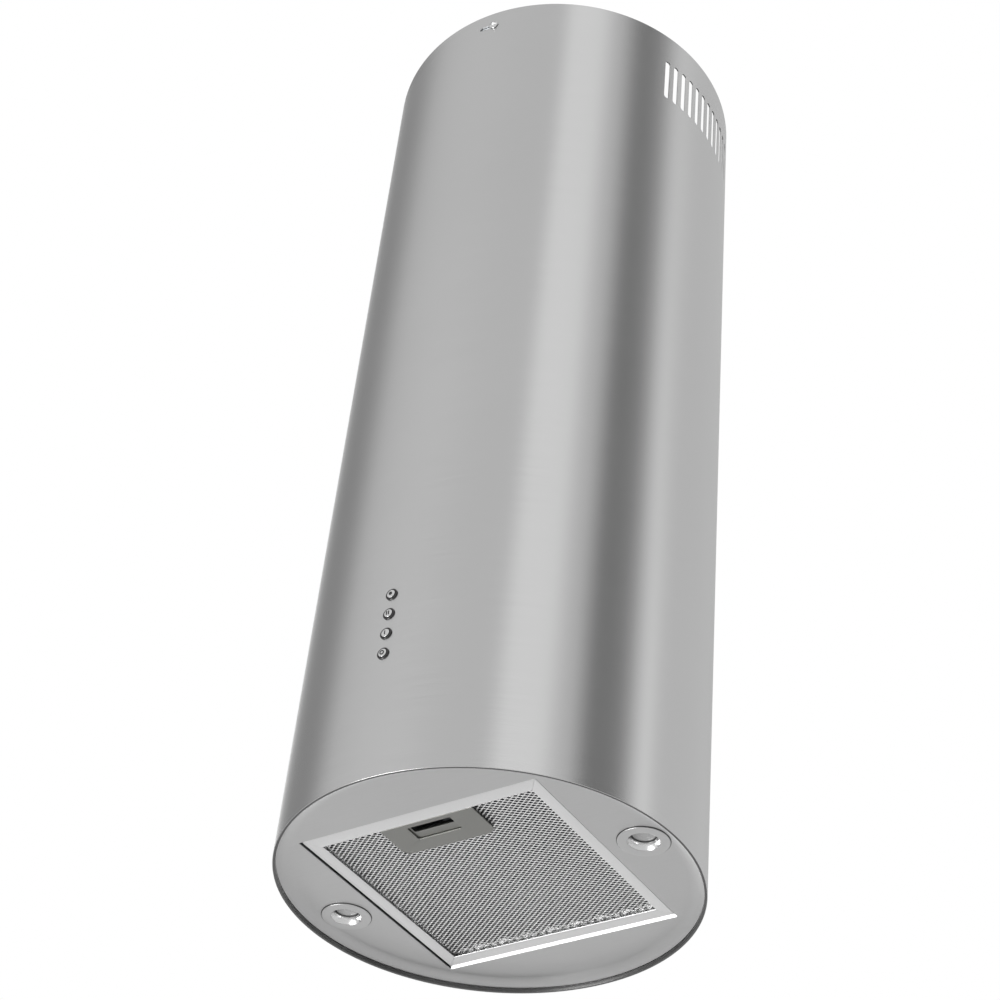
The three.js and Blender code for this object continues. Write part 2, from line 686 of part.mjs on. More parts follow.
function terminalBlock() {
  const base = block([-28, 92, up(BOX_TOP + GAP)], [28, 112, up(BOX_TOP + 17)]);
  const slots = [-16.8, -5.6, 5.6, 16.8].map((x) =>
    block([x - 1.2, 90, up(BOX_TOP + 8)], [x + 1.2, 114, up(BOX_TOP + 20)]));
  return cut(base, ...slots);
}

function cableGland() {
  return turned([
    [4, 325], [6.6, 325], [6.6, 340.3], [11, 340.3], [11, 346],
    [8, 348], [8, 358], [4, 358],
  ].map(([radius, height]) => [radius, up(height)]), 12).translate(...GLAND_PLACE, 0);
}

function addElectrics() {
  const back = BOX_HALF + GAP;
  piece('control_box', block([-50, back, up(120)], [50, 146, up(220)]), BLACK_PLASTIC);
  piece('control_box_lid', block([-51.5, 146.3, up(118.5)], [51.5, 149, up(221.5)]), GREY_PLASTIC);
  const can = turned([
    [0, 150], [16, 150], [16, 214], [5, 214], [5, 220], [0, 220],
  ].map(([radius, height]) => [radius, up(height)]), 16);
  piece('capacitor', can.translate(136, 0, 0), ALUMINIUM);
  piece('terminal_block', terminalBlock(), BLACK_PLASTIC);
  piece('cable_gland', cableGland(), BLACK_PLASTIC);
}

addCasing();
addHangingFrame();
addButtons();
addLamps();
addFilter();
addBlower();
addOutlet();
addElectrics();

export default hood;
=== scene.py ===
"""Looks of a cylindrical island range hood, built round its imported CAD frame.

Sizes are millimetres, and heights are above the casing's bottom rim, until a shape becomes a
mesh in metres on the frame. Azimuths are degrees from the front, -Y, towards +X.
"""

from __future__ import annotations

import json
import logging
import math
from collections.abc import Iterable, Mapping, Sequence
from dataclasses import dataclass
from enum import Enum
from typing import Any

import bmesh
import bpy
from mathutils import Euler, Matrix, Vector
from mathutils.geometry import tessellate_polygon

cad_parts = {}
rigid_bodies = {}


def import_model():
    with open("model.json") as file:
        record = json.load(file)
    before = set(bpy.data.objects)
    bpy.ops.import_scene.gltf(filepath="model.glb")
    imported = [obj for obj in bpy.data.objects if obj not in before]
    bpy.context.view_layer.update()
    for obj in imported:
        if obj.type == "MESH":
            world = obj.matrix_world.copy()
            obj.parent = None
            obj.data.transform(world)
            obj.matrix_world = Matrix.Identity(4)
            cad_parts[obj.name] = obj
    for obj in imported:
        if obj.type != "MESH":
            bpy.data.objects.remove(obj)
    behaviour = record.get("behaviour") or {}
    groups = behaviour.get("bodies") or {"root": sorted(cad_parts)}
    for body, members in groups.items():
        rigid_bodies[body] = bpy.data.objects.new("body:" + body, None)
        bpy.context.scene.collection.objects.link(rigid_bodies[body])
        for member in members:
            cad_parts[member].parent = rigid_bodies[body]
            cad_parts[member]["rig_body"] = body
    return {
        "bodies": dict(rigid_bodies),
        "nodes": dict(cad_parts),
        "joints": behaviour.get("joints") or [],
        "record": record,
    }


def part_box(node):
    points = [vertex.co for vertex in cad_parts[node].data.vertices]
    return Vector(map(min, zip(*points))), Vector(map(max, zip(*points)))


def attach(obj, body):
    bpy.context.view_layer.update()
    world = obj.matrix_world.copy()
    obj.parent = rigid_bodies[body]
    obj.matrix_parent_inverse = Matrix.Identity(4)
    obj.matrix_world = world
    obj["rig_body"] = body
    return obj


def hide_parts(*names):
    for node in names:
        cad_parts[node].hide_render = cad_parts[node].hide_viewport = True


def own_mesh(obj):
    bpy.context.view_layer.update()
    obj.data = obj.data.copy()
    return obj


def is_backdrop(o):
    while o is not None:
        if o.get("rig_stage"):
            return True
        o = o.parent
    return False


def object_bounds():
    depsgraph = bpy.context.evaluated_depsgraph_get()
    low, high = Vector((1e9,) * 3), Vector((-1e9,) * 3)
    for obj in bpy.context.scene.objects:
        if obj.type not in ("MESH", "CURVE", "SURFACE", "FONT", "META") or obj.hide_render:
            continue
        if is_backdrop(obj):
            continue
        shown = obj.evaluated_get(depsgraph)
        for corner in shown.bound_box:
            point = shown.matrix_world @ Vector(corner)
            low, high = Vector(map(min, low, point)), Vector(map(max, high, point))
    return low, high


LOG = logging.getLogger("range_hood")
MM = 0.001
Point = tuple[float, float]
Colour = tuple[float, float, float]
GLAND_PLACE: Point = (60.0, 103.0)


# ------------------------------------------------------------------ outlines and shapes


def arc(centre: Point, radius: float, start: float, end: float, steps: int) -> list[Point]:
    """Points on an arc, both ends included.

    Args:
        centre: the arc's middle.
        radius: its radius.
        start: first angle in degrees, anticlockwise from the first axis.
        end: last angle in degrees.
        steps: how many chords it has.

    Returns:
        steps + 1 points.
    """
    angles = [math.radians(start + (end - start) * i / steps) for i in range(steps + 1)]
    return [(centre[0] + radius * math.cos(a), centre[1] + radius * math.sin(a)) for a in angles]


def circle(radius: float, sides: int, centre: Point = (0.0, 0.0)) -> list[Point]:
    """A closed round outline, without its first point repeated."""
    return arc(centre, radius, 0, 360, sides)[:-1]


def rectangle(low: Point, high: Point, corner: float = 0.0, steps: int = 4) -> list[Point]:
    """A rectangle between two opposite corners.

    Args:
        low: least coordinates.
        high: greatest coordinates.
        corner: radius of its four corners, or 0 for square ones.
        steps: chords in each corner.

    Returns:
        The outline, anticlockwise.
    """
    if not corner:
        return [low, (high[0], low[1]), high, (low[0], high[1])]
    near, far = (low[0] + corner, low[1] + corner), (high[0] - corner, high[1] - corner)
    return [
        *arc(near, corner, 180, 270, steps),
        *arc((far[0], near[1]), corner, 270, 360, steps),
        *arc(far, corner, 0, 90, steps),
        *arc((near[0], far[1]), corner, 90, 180, steps),
    ]


def slot_outline(length: float, width: float, steps: int = 10) -> list[Point]:
    """A slot with round ends, its length along the second axis."""
    straight = (length - width) / 2
    return [
        *arc((0, straight), width / 2, 0, 180, steps),
        *arc((0, -straight), width / 2, 180, 360, steps),
    ]


class Shape:
    """Points and faces of one or more closed solids, in millimetres."""

    def __init__(
        self,
        points: Iterable[Sequence[float]] = (),
        faces: Iterable[Sequence[int]] = (),
    ) -> None:
        """Keeps the points as vectors and the faces as tuples."""
        self.points = [Vector(p) for p in points]
        self.faces = [tuple(f) for f in faces]

    def __add__(self, other: Shape) -> Shape:
        """Both shapes in one."""
        start = len(self.points)
        moved = [tuple(i + start for i in face) for face in other.faces]
        return Shape(self.points + other.points, self.faces + moved)

    def under(self, matrix: Matrix) -> Shape:
        """A copy with its points moved by a matrix."""
        return Shape([matrix @ p for p in self.points], self.faces)

    def shifted(self, x: float = 0.0, y: float = 0.0, z: float = 0.0) -> Shape:
        """A copy moved along the axes."""
        return self.under(Matrix.Translation((x, y, z)))

    def turned(self, degrees: float, axis: str = "Z") -> Shape:
        """A copy turned about an axis through the origin."""
        return self.under(Matrix.Rotation(math.radians(degrees), 4, axis))


def lathe(profile: Sequence[Point], sides: int, closed: bool = True) -> Shape:
    """Turns a (radius, height) profile about Z.

    Args:
        profile: the section's points.
        sides: steps round the axis.
        closed: whether the last point joins the first.

    Returns:
        A ring of quads. Points on the axis are merged when it becomes a mesh.
    """
    rows = len(profile)
    points = [
        (radius * math.cos(angle), radius * math.sin(angle), height)
        for angle in (2 * math.pi * i / sides for i in range(sides))
        for radius, height in profile
    ]
    faces = []
    for i in range(sides):
        here, there = i * rows, (i + 1) % sides * rows
        for j in range(rows if closed else rows - 1):
            after = (j + 1) % rows
            faces.append((here + j, here + after, there + after, there + j))
    return Shape(points, faces)


def prism(
    outline: Sequence[Point],
    low: float,
    high: float,
    holes: Sequence[Sequence[Point]] = (),
    outer_wall: bool = True,
) -> Shape:
    """Pushes a flat outline along Z.

    Args:
        outline: the outer boundary.
        low: height of its lower face.
        high: height of its upper face.
        holes: boundaries of openings through it.
        outer_wall: whether the outer boundary gets its wall.

    Returns:
        The pushed solid.
    """
    rings = [list(outline), *[list(hole) for hole in holes]]
    flat = [point for ring in rings for point in ring]
    triangles = tessellate_polygon([[Vector((x, y, 0)) for x, y in ring] for ring in rings])
    count = len(flat)
    points = [(x, y, low) for x, y in flat] + [(x, y, high) for x, y in flat]
    faces = [tuple(t) for t in triangles] + [tuple(i + count for i in t) for t in triangles]
    start = 0
    for number, ring in enumerate(rings):
        if number or outer_wall:
            for i in range(len(ring)):
                a, b = start + i, start + (i + 1) % len(ring)
                faces.append((a, b, b + count, a + count))
        start += len(ring)
    return Shape(points, faces)


def block(low: Sequence[float], high: Sequence[float], corner: float = 0.0) -> Shape:
    """A box between two corners, its upright edges rounded by `corner`."""
    return prism(rectangle((low[0], low[1]), (high[0], high[1]), corner), low[2], high[2])


# Lays a prism drawn as (y, height) along the X axis.
ALONG_X = Matrix(((0, 0, 1, 0), (1, 0, 0, 0), (0, 1, 0, 0), (0, 0, 0, 1)))


def outwards(azimuth: float, height: float) -> Matrix:
    """Stands a piece made about +Z on the casing: +Z points out at an azimuth and height."""
    tip = Matrix.Translation((0, 0, height)) @ Matrix.Rotation(math.pi / 2, 4, "X")
    return Matrix.Rotation(math.radians(azimuth), 4, "Z") @ tip


# ------------------------------------------------------------------ nodes


@dataclass(frozen=True)
class Value:
    """A number socket that arithmetic extends with Math nodes."""

    nodes: Nodes
    socket: bpy.types.NodeSocket

    def math(self, operation: str, *numbers: Value | float) -> Value:
        """One Math node on the given numbers."""
        inputs = dict(enumerate(numbers))
        made = self.nodes.node("ShaderNodeMath", {"operation": operation}, inputs)
        return Value(self.nodes, made.outputs[0])

    def __add__(self, other: Value | float) -> Value:
        """self + other."""
        return self.math("ADD", self, other)

    def __radd__(self, other: float) -> Value:
        """other + self."""
        return self.math("ADD", other, self)

    def __sub__(self, other: Value | float) -> Value:
        """self - other."""
        return self.math("SUBTRACT", self, other)

    def __rsub__(self, other: float) -> Value:
        """other - self."""
        return self.math("SUBTRACT", other, self)

    def __mul__(self, other: Value | float) -> Value:
        """self * other."""
        return self.math("MULTIPLY", self, other)

    def __rmul__(self, other: float) -> Value:
        """other * self."""
        return self.math("MULTIPLY", other, self)

    def __truediv__(self, other: Value | float) -> Value:
        """self / other."""
        return self.math("DIVIDE", self, other)

    def __mod__(self, other: Value | float) -> Value:
        """self modulo other."""
        return self.math("FLOORED_MODULO", self, other)

    def __lt__(self, other: Value | float) -> Value:
        """1 where self is below other."""
        return self.math("LESS_THAN", self, other)

    def __gt__(self, other: Value | float) -> Value:
        """1 where self is above other."""
        return self.math("GREATER_THAN", self, other)

    def __abs__(self) -> Value:
        """Its size without its sign."""
        return self.math("ABSOLUTE", self)

    def floor(self) -> Value:
        """The whole number below."""
        return self.math("FLOOR", self)


class Nodes:
    """Adds nodes to one tree, for materials, the world and Geometry Nodes alike."""

    def __init__(self, tree: bpy.types.NodeTree) -> None:
        """Keeps the tree."""
        self.tree = tree

    def node(
        self,
        kind: str,
        settings: Mapping[str, Any] | None = None,
        inputs: Mapping[str | int, Any] | None = None,
    ) -> bpy.types.Node:
        """Adds a node.

        Args:
            kind: the node's Blender type.
            settings: its properties, set first; "stops" are a ramp's (place, colour) pairs.
            inputs: values, Values or sockets for its inputs, by name or number.

        Returns:
            The node.
        """
        made = self.tree.nodes.new(kind)
        for key, value in (settings or {}).items():
            if key == "stops":
                self.set_stops(made.color_ramp, value)
            else:
                setattr(made, key, value)
        for key, value in (inputs or {}).items():
            source = value.socket if isinstance(value, Value) else value
            if isinstance(source, bpy.types.NodeSocket):
                self.tree.links.new(source, made.inputs[key])
            else:
                made.inputs[key].default_value = source
        return made

    @staticmethod
    def set_stops(ramp: bpy.types.ColorRamp, stops: Sequence[tuple[float, float]]) -> None:
        """Gives a ramp grey stops of (place, level)."""
        while len(ramp.elements) > 1:
            ramp.elements.remove(ramp.elements[-1])
        for number, (place, level) in enumerate(stops):
            element = ramp.elements.new(place) if number else ramp.elements[0]
            element.position = place
            element.color = (level, level, level, 1)

    def value(self, socket: bpy.types.NodeSocket) -> Value:
        """Wraps a socket for arithmetic."""
        return Value(self, socket)

    def xyz(self, vector: bpy.types.NodeSocket) -> tuple[Value, Value, Value]:
        """The three numbers of a vector."""
        parts = self.node("ShaderNodeSeparateXYZ", inputs={0: vector}).outputs
        return self.value(parts[0]), self.value(parts[1]), self.value(parts[2])

    def vector(self, x: Any, y: Any, z: Any) -> bpy.types.NodeSocket:
        """A vector from three numbers."""
        return self.node("ShaderNodeCombineXYZ", inputs={0: x, 1: y, 2: z}).outputs[0]


class Paint(Nodes):
    """A material's nodes, drawn in the piece's own Object coordinates."""

    def __init__(self, name: str) -> None:
        """Starts an empty material of that name."""
        self.material = bpy.data.materials.new(name)
        self.material.use_nodes = True
        super().__init__(self.material.node_tree)
        self.tree.nodes.clear()
        self.place = self.node("ShaderNodeTexCoord").outputs["Object"]

    def noise(
        self,
        vector: bpy.types.NodeSocket,
        scale: float = 1.0,
        detail: float = 3.0,
    ) -> Value:
        """Soft noise from about 0 to 1 with a mean of one half."""
        inputs = {"Vector": vector, "Scale": scale, "Detail": detail, "Roughness": 0.6}
        return self.value(self.node("ShaderNodeTexNoise", inputs=inputs).outputs[0])

    def shade(self, factor: Value, dark: Colour, light: Colour) -> bpy.types.NodeSocket:
        """A colour between two, by a factor."""
        settings = {"data_type": "RGBA", "clamp_factor": True}
        inputs = {0: factor, 6: (*dark, 1.0), 7: (*light, 1.0)}
        return self.node("ShaderNodeMix", settings, inputs).outputs[2]

    def bump(self, height: Value, depth: float) -> bpy.types.NodeSocket:
        """A normal from a height that swings by `depth` millimetres."""
        inputs = {"Strength": 1.0, "Distance": depth * MM, "Height": height}
        return self.node("ShaderNodeBump", inputs=inputs).outputs[0]

    def principled(self, inputs: Mapping[str, Any]) -> bpy.types.Material:
        """Ends the material in one Principled shader with those inputs."""
        shader = self.node("ShaderNodeBsdfPrincipled", inputs=inputs)
        self.node("ShaderNodeOutputMaterial", inputs={"Surface": shader.outputs[0]})
        return self.material


class Tree(Nodes):
    """A Geometry Nodes tree with named inputs and one geometry output."""

    def __init__(self, name: str) -> None:
        """Starts an empty tree of that name."""
        super().__init__(bpy.data.node_groups.new(name, "GeometryNodeTree"))
        self.entry = self.tree.nodes.new("NodeGroupInput")
        self.tree.interface.new_socket("Geometry", in_out="OUTPUT", socket_type="NodeSocketGeometry")

    def input(self, name: str, kind: str) -> bpy.types.NodeSocket:
        """Adds a named input of a kind such as Float, and returns its socket inside the tree."""
        self.tree.interface.new_socket(name, in_out="INPUT", socket_type="NodeSocket" + kind)
        return self.entry.outputs[name]

    def number(self, name: str, kind: str = "Float") -> Value:
        """A named number input, ready for arithmetic."""
        return self.value(self.input(name, kind))

    def spread(
        self,
        instance: bpy.types.NodeSocket,
        points: bpy.types.NodeSocket,
        turn: bpy.types.NodeSocket,
    ) -> bpy.types.NodeSocket:
        """Puts an instance on points, turned by Euler angles, and makes it real geometry."""
        rotation = self.node("FunctionNodeEulerToRotation", inputs={0: turn}).outputs[0]
        inputs = {"Points": points, "Instance": instance, "Rotation": rotation}
        placed = self.node("GeometryNodeInstanceOnPoints", inputs=inputs).outputs[0]
        return self.node("GeometryNodeRealizeInstances", inputs={0: placed}).outputs[0]

    def shape_of(self, source: bpy.types.NodeSocket) -> bpy.types.NodeSocket:
        """The geometry of an Object input."""
        made = self.node("GeometryNodeObjectInfo", {"transform_space": "RELATIVE"}, {"Object": source})
        return made.outputs["Geometry"]

    def end(self, geometry: bpy.types.NodeSocket) -> None:
        """Ends the tree in Realize Instances and Set Material."""
        real = self.node("GeometryNodeRealizeInstances", inputs={0: geometry}).outputs[0]
        inputs = {"Geometry": real, "Material": self.input("Material", "Material")}
        dressed = self.node("GeometryNodeSetMaterial", inputs=inputs).outputs[0]
        self.node("NodeGroupOutput", inputs={"Geometry": dressed})

    def run(self, host: bpy.types.Object, values: Mapping[str, Any]) -> None:
        """Runs the tree on an object and keeps the result as its plain mesh.

        Args:
            host: the object, whose own mesh is the tree's geometry input if it has one.
            values: the other inputs, by their names.
        """
        modifier = host.modifiers.new(self.tree.name, "NODES")
        modifier.node_group = self.tree
        identifiers = {
            item.name: item.identifier
            for item in self.tree.interface.items_tree
            if item.in_out == "INPUT"
        }
        for name, value in values.items():
            modifier[identifiers[name]] = value
        flatten(host)


class Trees:
    """The Geometry Nodes trees that the pieces share, each built once."""

    def __init__(self) -> None:
        """Builds them all."""
        self.perforate = self.make_perforate()
        self.ring = self.make_ring()
        self.fasteners = self.make_fasteners()
        self.expanded_metal = self.make_expanded_metal()
        self.coil = self.make_coil()

    @staticmethod
    def row(tree: Tree) -> bpy.types.NodeSocket:
        """Copies of an Object input in a row that turns and rises round Z."""
        shape = tree.shape_of(tree.input("Copied", "Object"))
        count = tree.input("Count", "Int")
        first = tree.number("First azimuth")
        pitch = tree.number("Pitch")
        rise = tree.number("Rise")
        index = tree.value(tree.node("GeometryNodeInputIndex").outputs[0])
        place = tree.vector(0.0, 0.0, index * rise)
        points = tree.node("GeometryNodePoints", inputs={"Count": count, "Position": place})
        turn = tree.vector(0.0, 0.0, first + index * pitch)
        return tree.spread(shape, points.outputs[0], turn)

    def make_perforate(self) -> Tree:
        """Cuts a row of holes through the host."""
        tree = Tree("perforate")
        wall = tree.input("Wall", "Geometry")
        tools = self.row(tree)
        settings = {"operation": "DIFFERENCE", "solver": "EXACT"}
        cut = tree.node("GeometryNodeMeshBoolean", settings, {"Mesh 1": wall, "Mesh 2": tools})
        tree.end(cut.outputs[0])
        return tree

    def make_ring(self) -> Tree:
        """A row of copies on its own."""
        tree = Tree("ring")
        tree.end(self.row(tree))
        return tree

    @staticmethod
    def make_fasteners() -> Tree:
        """Copies of an object on the host's points, turned by their `turn` attribute."""
        tree = Tree("fasteners")
        points = tree.input("Points", "Geometry")
        shape = tree.shape_of(tree.input("Copied", "Object"))
        settings = {"data_type": "FLOAT_VECTOR"}
        turn = tree.node("GeometryNodeInputNamedAttribute", settings, {"Name": "turn"})
        tree.end(tree.spread(shape, points, turn.outputs[0]))
        return tree

    @staticmethod
    def make_expanded_metal() -> Tree:
        """A diamond lattice of knuckles, left out where the latch plate covers it."""
        tree = Tree("expanded_metal")
        shape = tree.shape_of(tree.input("Knuckle", "Object"))
        columns = tree.number("Columns", "Int")
        rows = tree.number("Rows", "Int")
        long_way = tree.number("Long way")
        short_way = tree.number("Short way")
        corner = tree.xyz(tree.input("Corner", "Vector"))
        clear_half = tree.number("Clear half width")
        clear_rear = tree.number("Clear rear")
        index = tree.value(tree.node("GeometryNodeInputIndex").outputs[0])
        row = (index / columns).floor()
        x = corner[0] + (index % columns + (row % 2) * 0.5) * long_way
        y = corner[1] + row * 0.5 * short_way
        inputs = {"Count": columns * rows, "Position": tree.vector(x, y, corner[2])}
        points = tree.node("GeometryNodePoints", inputs=inputs).outputs[0]
        here = tree.xyz(tree.node("GeometryNodeInputPosition").outputs[0])
        covered = (abs(here[0]) < clear_half) * (here[1] < clear_rear)
        inputs = {"Geometry": points, "Selection": covered}
        kept = tree.node("GeometryNodeDeleteGeometry", {"domain": "POINT"}, inputs).outputs[0]
        tree.end(tree.spread(shape, kept, tree.vector(0.0, 0.0, 0.0)))
        return tree

    @staticmethod
    def make_coil() -> Tree:
        """A coil of round wire along Z."""
        tree = Tree("coil")
        names = {"Rotations": "Turns", "Start Radius": "Radius", "End Radius": "Radius"}
        sockets = {name: tree.input(name, "Float") for name in ("Turns", "Radius", "Height", "Wire")}
        inputs = {key: sockets[name] for key, name in names.items()}
        inputs |= {"Resolution": 36, "Height": sockets["Height"]}
        spiral = tree.node("GeometryNodeCurveSpiral", inputs=inputs).outputs[0]
        section = {"Resolution": 12, "Radius": sockets["Wire"]}
        wire = tree.node("GeometryNodeCurvePrimitiveCircle", inputs=section).outputs[0]
        inputs = {"Curve": spiral, "Profile Curve": wire, "Fill Caps": True}
        tree.end(tree.node("GeometryNodeCurveToMesh", inputs=inputs).outputs[0])
        return tree


# ------------------------------------------------------------------ finishes


class Slot(Enum):
    """The record's material slots."""

    BRUSHED_STEEL = "brushed_steel"
    PLATE_STEEL = "plate_steel"
    CHROME = "chrome"
    GALVANISED = "galvanised"
    ALUMINIUM = "aluminium"
    LATCH_METAL = "latch_metal"
    LAMP_GLASS = "lamp_glass"
    BLACK_PLASTIC = "black_plastic"
    GREY_PLASTIC = "grey_plastic"
    CIRCUIT_BOARD = "circuit_board"


class Grain(Enum):
    """How a surface's fine texture runs, as its stretch along the first axis and the others."""

    AROUND = (14.0, 1300.0)
    ALONG_X = (30.0, 1500.0)
    SPECKLE = (900.0, 900.0)
    SPANGLE = (120.0, 120.0)


def grey(level: float) -> Colour:
    """A neutral colour."""
    return (level, level, level)


@dataclass(frozen=True)
class Metal:
    """A metal surface: two tones that its grain mixes, and a gloss that varies with it."""

    name: str
    slot: Slot
    dark: Colour
    light: Colour
    roughness: float
    grain: Grain = Grain.SPECKLE
    spread: float = 0.08
    depth: float = 0.004
    anisotropy: float = 0.0
    cloud_scale: float = 9.0

    def grain_vector(self, paint: Paint) -> bpy.types.NodeSocket:
        """Coordinates in which the grain is as long as it is wide."""
        x, y, z = paint.xyz(paint.place)
        along, across = self.grain.value
        if self.grain is Grain.AROUND:
            bearing = x.math("ARCTAN2", x, 0.0 - y)
            return paint.vector(bearing * (0.175 * along), z * across, 0.0)
        return paint.vector(x * along, y * across, z * across)

    def material(self) -> bpy.types.Material:
        """Builds the material."""
        paint = Paint(self.name)
        vector = self.grain_vector(paint)
        if self.grain is Grain.SPANGLE:
            cells = paint.node("ShaderNodeTexVoronoi", inputs={"Vector": vector, "Scale": 1.0})
            streaks = paint.xyz(cells.outputs["Color"])[0]
        else:
            streaks = paint.noise(vector)
        clouds = paint.noise(paint.place, self.cloud_scale)
        tone = streaks * 0.65 + clouds * 0.35
        return paint.principled({
            "Base Color": paint.shade(tone, self.dark, self.light),
            "Metallic": 1.0,
            "Roughness": self.roughness + (streaks + clouds - 1.0) * self.spread,
            "Anisotropic": self.anisotropy,
            "Anisotropic Rotation": 0.25,
            "Normal": paint.bump(streaks, self.depth),
        })


@dataclass(frozen=True)
class Moulded:
    """Moulded plastic with a fine spark-eroded texture and slight flow marks."""

    name: str
    slot: Slot
    dark: Colour
    light: Colour
    roughness: float = 0.5
    depth: float = 0.02
    coat: float = 0.0

    def material(self) -> bpy.types.Material:
        """Builds the material."""
        paint = Paint(self.name)
        pits = paint.noise(paint.place, 2200.0, 2.0)
        flow = paint.noise(paint.place, 24.0)
        return paint.principled({
            "Base Color": paint.shade(flow * 0.8 + pits * 0.2, self.dark, self.light),
            "Roughness": self.roughness + (flow - 0.5) * 0.12,
            "Coat Weight": self.coat,
            "Normal": paint.bump(pits, self.depth),
        })


@dataclass(frozen=True)
class BoardLacquer:
    """Green solder resist with tracks showing through it."""

    name: str
    slot: Slot
    resist: Colour = (0.010, 0.085, 0.040)
    track: Colour = (0.030, 0.190, 0.085)

    def material(self) -> bpy.types.Material:
        """Builds the material."""
        paint = Paint(self.name)
        x, _, z = paint.xyz(paint.place)
        wander = paint.noise(paint.place, 70.0, 1.0)
        tracks = abs((x * 320.0 + z * 90.0 + wander * 3.0) % 1.0 - 0.5) > 0.34
        return paint.principled({
            "Base Color": paint.shade(tracks, self.resist, self.track),
            "Roughness": 0.35 + wander * 0.1,
            "Normal": paint.bump(tracks, 0.03),
        })


@dataclass(frozen=True)
class Finishes:
    """Every finish of the hood."""

    casing: Metal = Metal(
        "brushed_casing_steel", Slot.BRUSHED_STEEL, grey(0.62), grey(0.74), 0.26,
        Grain.AROUND, 0.04, 0.002, 0.90, 4.0,
    )
    plate: Metal = Metal(
        "satin_plate_steel", Slot.PLATE_STEEL, grey(0.56), grey(0.66), 0.40, Grain.ALONG_X, 0.05, 0.002,
    )
    # Near-black steel for the inside of the hem: painted shade for the dark band along the rim.
    hem: Metal = Metal("painted_shade_hem_steel", Slot.BRUSHED_STEEL, grey(0.12), grey(0.20), 0.22, depth=0.001)
    chrome: Metal = Metal("polished_chrome", Slot.CHROME, grey(0.80), grey(0.90), 0.10, spread=0.04)
    lamp_trim: Metal = Metal("brushed_lamp_trim", Slot.CHROME, grey(0.60), grey(0.68), 0.30, depth=0.001)
    reflector: Metal = Metal(
        "polished_reflector", Slot.CHROME, grey(0.86), grey(0.94), 0.24, spread=0.0, depth=0.0,
    )
    zinc: Metal = Metal(
        "spangled_zinc_sheet", Slot.GALVANISED, (0.42, 0.44, 0.46), (0.62, 0.64, 0.66), 0.42,
        Grain.SPANGLE, 0.10, 0.001,
    )
    dark_chrome: Metal = Metal("dark_chrome", Slot.CHROME, grey(0.07), grey(0.12), 0.25, depth=0.001)
    frame_aluminium: Metal = Metal(
        "drawn_aluminium", Slot.ALUMINIUM, grey(0.84), grey(0.94), 0.34, Grain.SPECKLE, 0.06, 0.002,
    )
    mesh_aluminium: Metal = Metal(
        "expanded_aluminium", Slot.ALUMINIUM, grey(0.88), grey(0.98), 0.22, Grain.SPECKLE, 0.08, 0.004,
    )
    # Near-black aluminium for the back layer: painted shade for the dark space behind the filter.
    backing_mesh: Metal = Metal(
        "painted_shade_backing_mesh", Slot.ALUMINIUM, grey(0.03), grey(0.08), 0.45, Grain.SPECKLE, 0.12,
    )
    latch: Metal = Metal(
        "grey_latch_metal", Slot.LATCH_METAL, (0.28, 0.28, 0.265), (0.34, 0.34, 0.325), 0.36, depth=0.002,
    )
    # The slider's latch metal in a lighter colour: a painted highlight on the grip, with a glossier finish as
    # well.
    grip: Metal = Metal(
        "painted_highlight_grip_metal", Slot.LATCH_METAL, (0.44, 0.44, 0.425), (0.50, 0.50, 0.485), 0.24, depth=0.001,
    )
    spring: Metal = Metal("drawn_spring_wire", Slot.CHROME, grey(0.55), grey(0.70), 0.22, depth=0.001)
    lens: Moulded = Moulded(
        "frosted_lens", Slot.LAMP_GLASS, grey(0.34), grey(0.40), 0.32, 0.003, 0.5,
    )
    black: Moulded = Moulded("black_moulding", Slot.BLACK_PLASTIC, grey(0.014), grey(0.024))
    grey_moulding: Moulded = Moulded(
        "grey_moulding", Slot.GREY_PLASTIC, (0.13, 0.14, 0.15), (0.17, 0.18, 0.19), 0.52,
    )
    board: BoardLacquer = BoardLacquer("board_lacquer", Slot.CIRCUIT_BOARD)


Finish = Metal | Moulded | BoardLacquer


# ------------------------------------------------------------------ workshop


def flatten(piece: bpy.types.Object) -> None:
    """Keeps an object's evaluated mesh as its plain mesh, without its modifiers."""
    bpy.context.view_layer.update()
    graph = bpy.context.evaluated_depsgraph_get()
    mesh = bpy.data.meshes.new_from_object(piece.evaluated_get(graph), depsgraph=graph)
    piece.modifiers.clear()
    piece.data = mesh


@dataclass(frozen=True)
class Edge:
    """How a piece's square edges are rounded, in millimetres, and how many chords that takes."""

    radius: float = 0.25
    segments: int = 2
    sharp: float = 50.0


SHEET_EDGE = Edge(0.2)
CASTING_EDGE = Edge(0.6, 3)
NO_EDGE = Edge(0.0)


